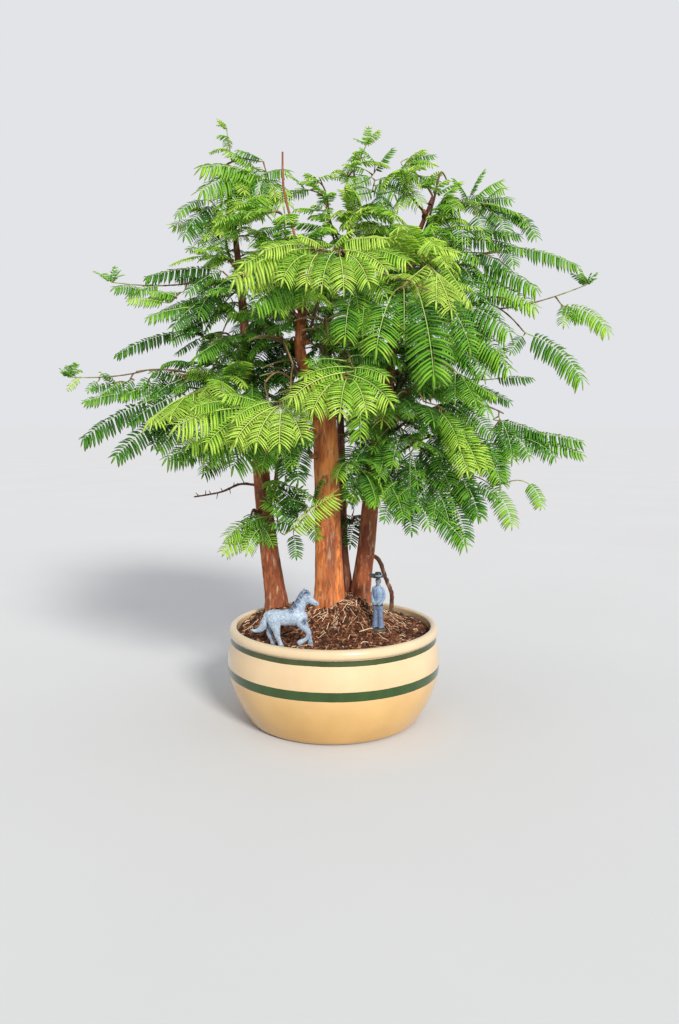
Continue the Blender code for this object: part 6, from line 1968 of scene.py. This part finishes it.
def mane_shells():
    """The mane's tufts, which fall to both sides of its line, and the forelock."""
    dice = random.Random("mane")
    crest = smooth_route([(x, HORSE_PLANE, z, 0) for x, z in HORSE_CREST], 0.4)
    shells = []
    for number in range(MANE_TUFTS):
        x, y, z, _ = crest[int(number / MANE_TUFTS * (len(crest) - 1))]
        lean = -1 if number % 3 else 1
        fall = dice.uniform(3.4, 5.4)
        shells.append(limb([(x - 0.2, y, z - 0.6, 1.0), (x + 0.4, y + lean * 2.2, z - fall * 0.4, 0.9),
                            (x + 1.2 + dice.uniform(-0.6, 0.6), y + lean * 3.4, z - fall, 0.45)], 0.8))
    for lock in range(FORELOCKS):
        side = lock - FORELOCKS // 2
        y = HORSE_PLANE + side * 0.8
        rows = [(x, y + side * lean, z + lift * (lock % 2), r) for x, lean, z, r, lift in FORELOCK]
        shells.append(limb(rows, 0.9))
    return shells


def horse_shells():
    """The horse's limbs and body, ears, mane and the strands of its tail."""
    shells = []
    for side, wide, rows in HORSE_LIMBS:
        shells.append(limb([(x, HORSE_PLANE + side * HORSE_TRACK, z, r) for x, z, r in rows], wide))
    for side in (-1, 1):
        ear = [(x, HORSE_PLANE + side * (EAR_SPREAD + y), z, r) for x, y, z, r in HORSE_EAR]
        shells.append(limb(ear, 0.6))
    shells += mane_shells()
    for turn in turns(TAIL_STRANDS):
        strand = [(x + cos(turn) * r * 0.62, HORSE_PLANE + sin(turn) * r * 0.6, z + cos(turn) * r * 0.4,
                   max(0.4, r * 0.42)) for x, z, r in HORSE_LIMBS[TAIL][2]]
        shells.append(limb(strand, 1.0))
    return shells


def horse_tints(points):
    """Coat, hooves, dark mane and the dark spots, for each point."""
    coat, dark_coat, hoof = (np.array(HORSE_COLOURS[part]) for part in ("coat", "dark", "hoof"))
    dark = np.zeros(len(points))
    for x, z in HORSE_CREST:
        away = np.hypot(points[:, 0] - x - 0.6, points[:, 2] - z + 1.0)
        dark = np.maximum(dark, 0.95 * np.clip(1.5 - away / 2.6, 0, 1))
    for (x, y, z), size in HORSE_DARK:
        away = np.linalg.norm(points - np.array([x, HORSE_PLANE + y, z]), axis=1)
        dark = np.maximum(dark, np.clip(1.6 - away / size, 0, 1))
    speckle = np.array([noise.noise(Vector(p) * 0.9) for p in points])
    dark = np.clip(dark * (0.8 + 0.9 * speckle), 0, 1)[:, None]
    low = np.clip((HOOF_TOP[0] - points[:, 2:]) / (HOOF_TOP[0] - HOOF_TOP[1]), 0, 1)
    tints = coat + (dark_coat - coat) * dark
    return tints + (hoof - tints) * low


def make_horse(material):
    points, quads = sculpt(horse_shells(), HORSE_VOXEL, 3)
    relief = np.array([noise.noise(Vector(p) * 0.55) + 0.5 * noise.noise(Vector(p) * 1.7) for p in points])
    points = points + unit(points - np.array(HORSE_MIDDLE)) * (0.14 * relief)[:, None]
    skin = Skin()
    skin.add(points, [quads], 0, horse_tints(points))
    skin.replace_solid("toy_horse_sculpted", [material], 180, "horse")


def man_tints(points):
    """Jacket, trousers, belt, boots, hands, face and hair, for each point about the man's own axis. The face
    and neck's dark grey is painted shade under the hat.
    """
    x, y, z = points.T
    tints = np.tile(MAN_COLOURS["jacket"], (len(points), 1))
    for part, half, (front, back), (low, high) in MAN_PAINT:
        tints[(np.abs(x) < half) & (front < y) & (y < back) & (low < z) & (z < high)] = MAN_COLOURS[part]
    eyes = np.linalg.norm(np.stack([np.abs(x), y, z], -1) - np.array(MAN_EYE), axis=1) < EYE_SIZE
    tints[eyes] = MAN_COLOURS["belt"]
    return tints


def make_man(material):
    body = [limb([(x * side, y, z, r) for x, y, z, r in rows], wide)
            for sides, wide, rows in MAN_LIMBS for side in ((-1, 1) if sides else (1,))]
    head = [ball(place, radii) for place, radii in MAN_BALLS]
    facing = np.array(Matrix.Rotation(radians(MAN_TURN), 3, "Z")).T
    skin = Skin()
    for shells, voxel in ((body, MAN_VOXEL), (head, HEAD_VOXEL)):
        points, quads = sculpt(shells, voxel, 2)
        skin.add(points @ facing + MAN_PLACE, [quads], 0, man_tints(points))
    for part, profile in MAN_TURNED.items():
        points, faces = turned(profile, HAT_SIDES)
        if part == "hat":
            x, y, _ = points.T
            points[:, 2] += BRIM_LIFT * np.hypot(x, y) * (x * x - y * y) / BRIM_RADIUS ** 3
        skin.add(points @ facing + MAN_PLACE, faces, 0, MAN_COLOURS[part])
    skin.replace_solid("toy_man_sculpted", [material], 60, "man")


def make_camera():
    camera = bpy.data.cameras.new("camera")
    camera.lens = CAMERA_LENS
    camera.sensor_width = CAMERA_SENSOR
    camera.clip_start = 0.01
    seen = link(bpy.data.objects.new("camera", camera))
    seen.location = CAMERA_PLACE
    seen.rotation_euler = (radians(CAMERA_TILT), 0.0, 0.0)
    bpy.context.scene.camera = seen


def make_floor():
    verts = [(FLOOR_RADIUS * cos(a), FLOOR_RADIUS * sin(a), -FLOOR_DROP) for a in turns(FLOOR_SIDES)]
    mesh = bpy.data.meshes.new("studio_floor")
    mesh.from_pydata(verts, [], [list(range(FLOOR_SIDES))])
    n = Nodes("floor_paper")
    paper = n.ramp(n.noise(3.0), (0.3, (0.567, 0.571, 0.58)), (0.7, (0.583, 0.588, 0.597)))
    n.set(n.shader, {"Base Color": paper, "Roughness": 1.0, "Specular IOR Level": 0.0})
    mesh.materials.append(n.material)
    link(bpy.data.objects.new("studio_floor", mesh))


def make_light():
    world = bpy.data.worlds.new("studio")
    world.use_nodes = True
    sky = world.node_tree.nodes["Background"]
    sky.inputs["Color"].default_value = (*SURROUND, 1.0)
    sky.inputs["Strength"].default_value = 1.0
    bpy.context.scene.world = world
    sun = bpy.data.lights.new("key", "SUN")
    sun.energy = SUN_STRENGTH
    sun.angle = radians(SUN_WIDTH)
    sun.color = SUN_COLOUR
    lamp = link(bpy.data.objects.new("key", sun))
    lamp.rotation_euler = Vector(SUN_WAY).to_track_quat("-Z", "Y").to_euler()
    bpy.context.scene.view_settings.view_transform = "Standard"


def main():
    make_camera()
    make_floor()
    make_light()
    forest = grow_forest()
    bark = bark_material()
    for name in TRUNKS:
        make_trunk(name, forest, bark)
    dress_forest(forest)
    leafy = [leaf_material(), rachis_material(), twig_material()]
    for (name, number), shoot in forest.items():
        make_foliage(name, number, shoot, leafy)
    make_bowl()
    make_soil()
    toy = toy_material()
    make_horse(toy)
    make_man(toy)


main()
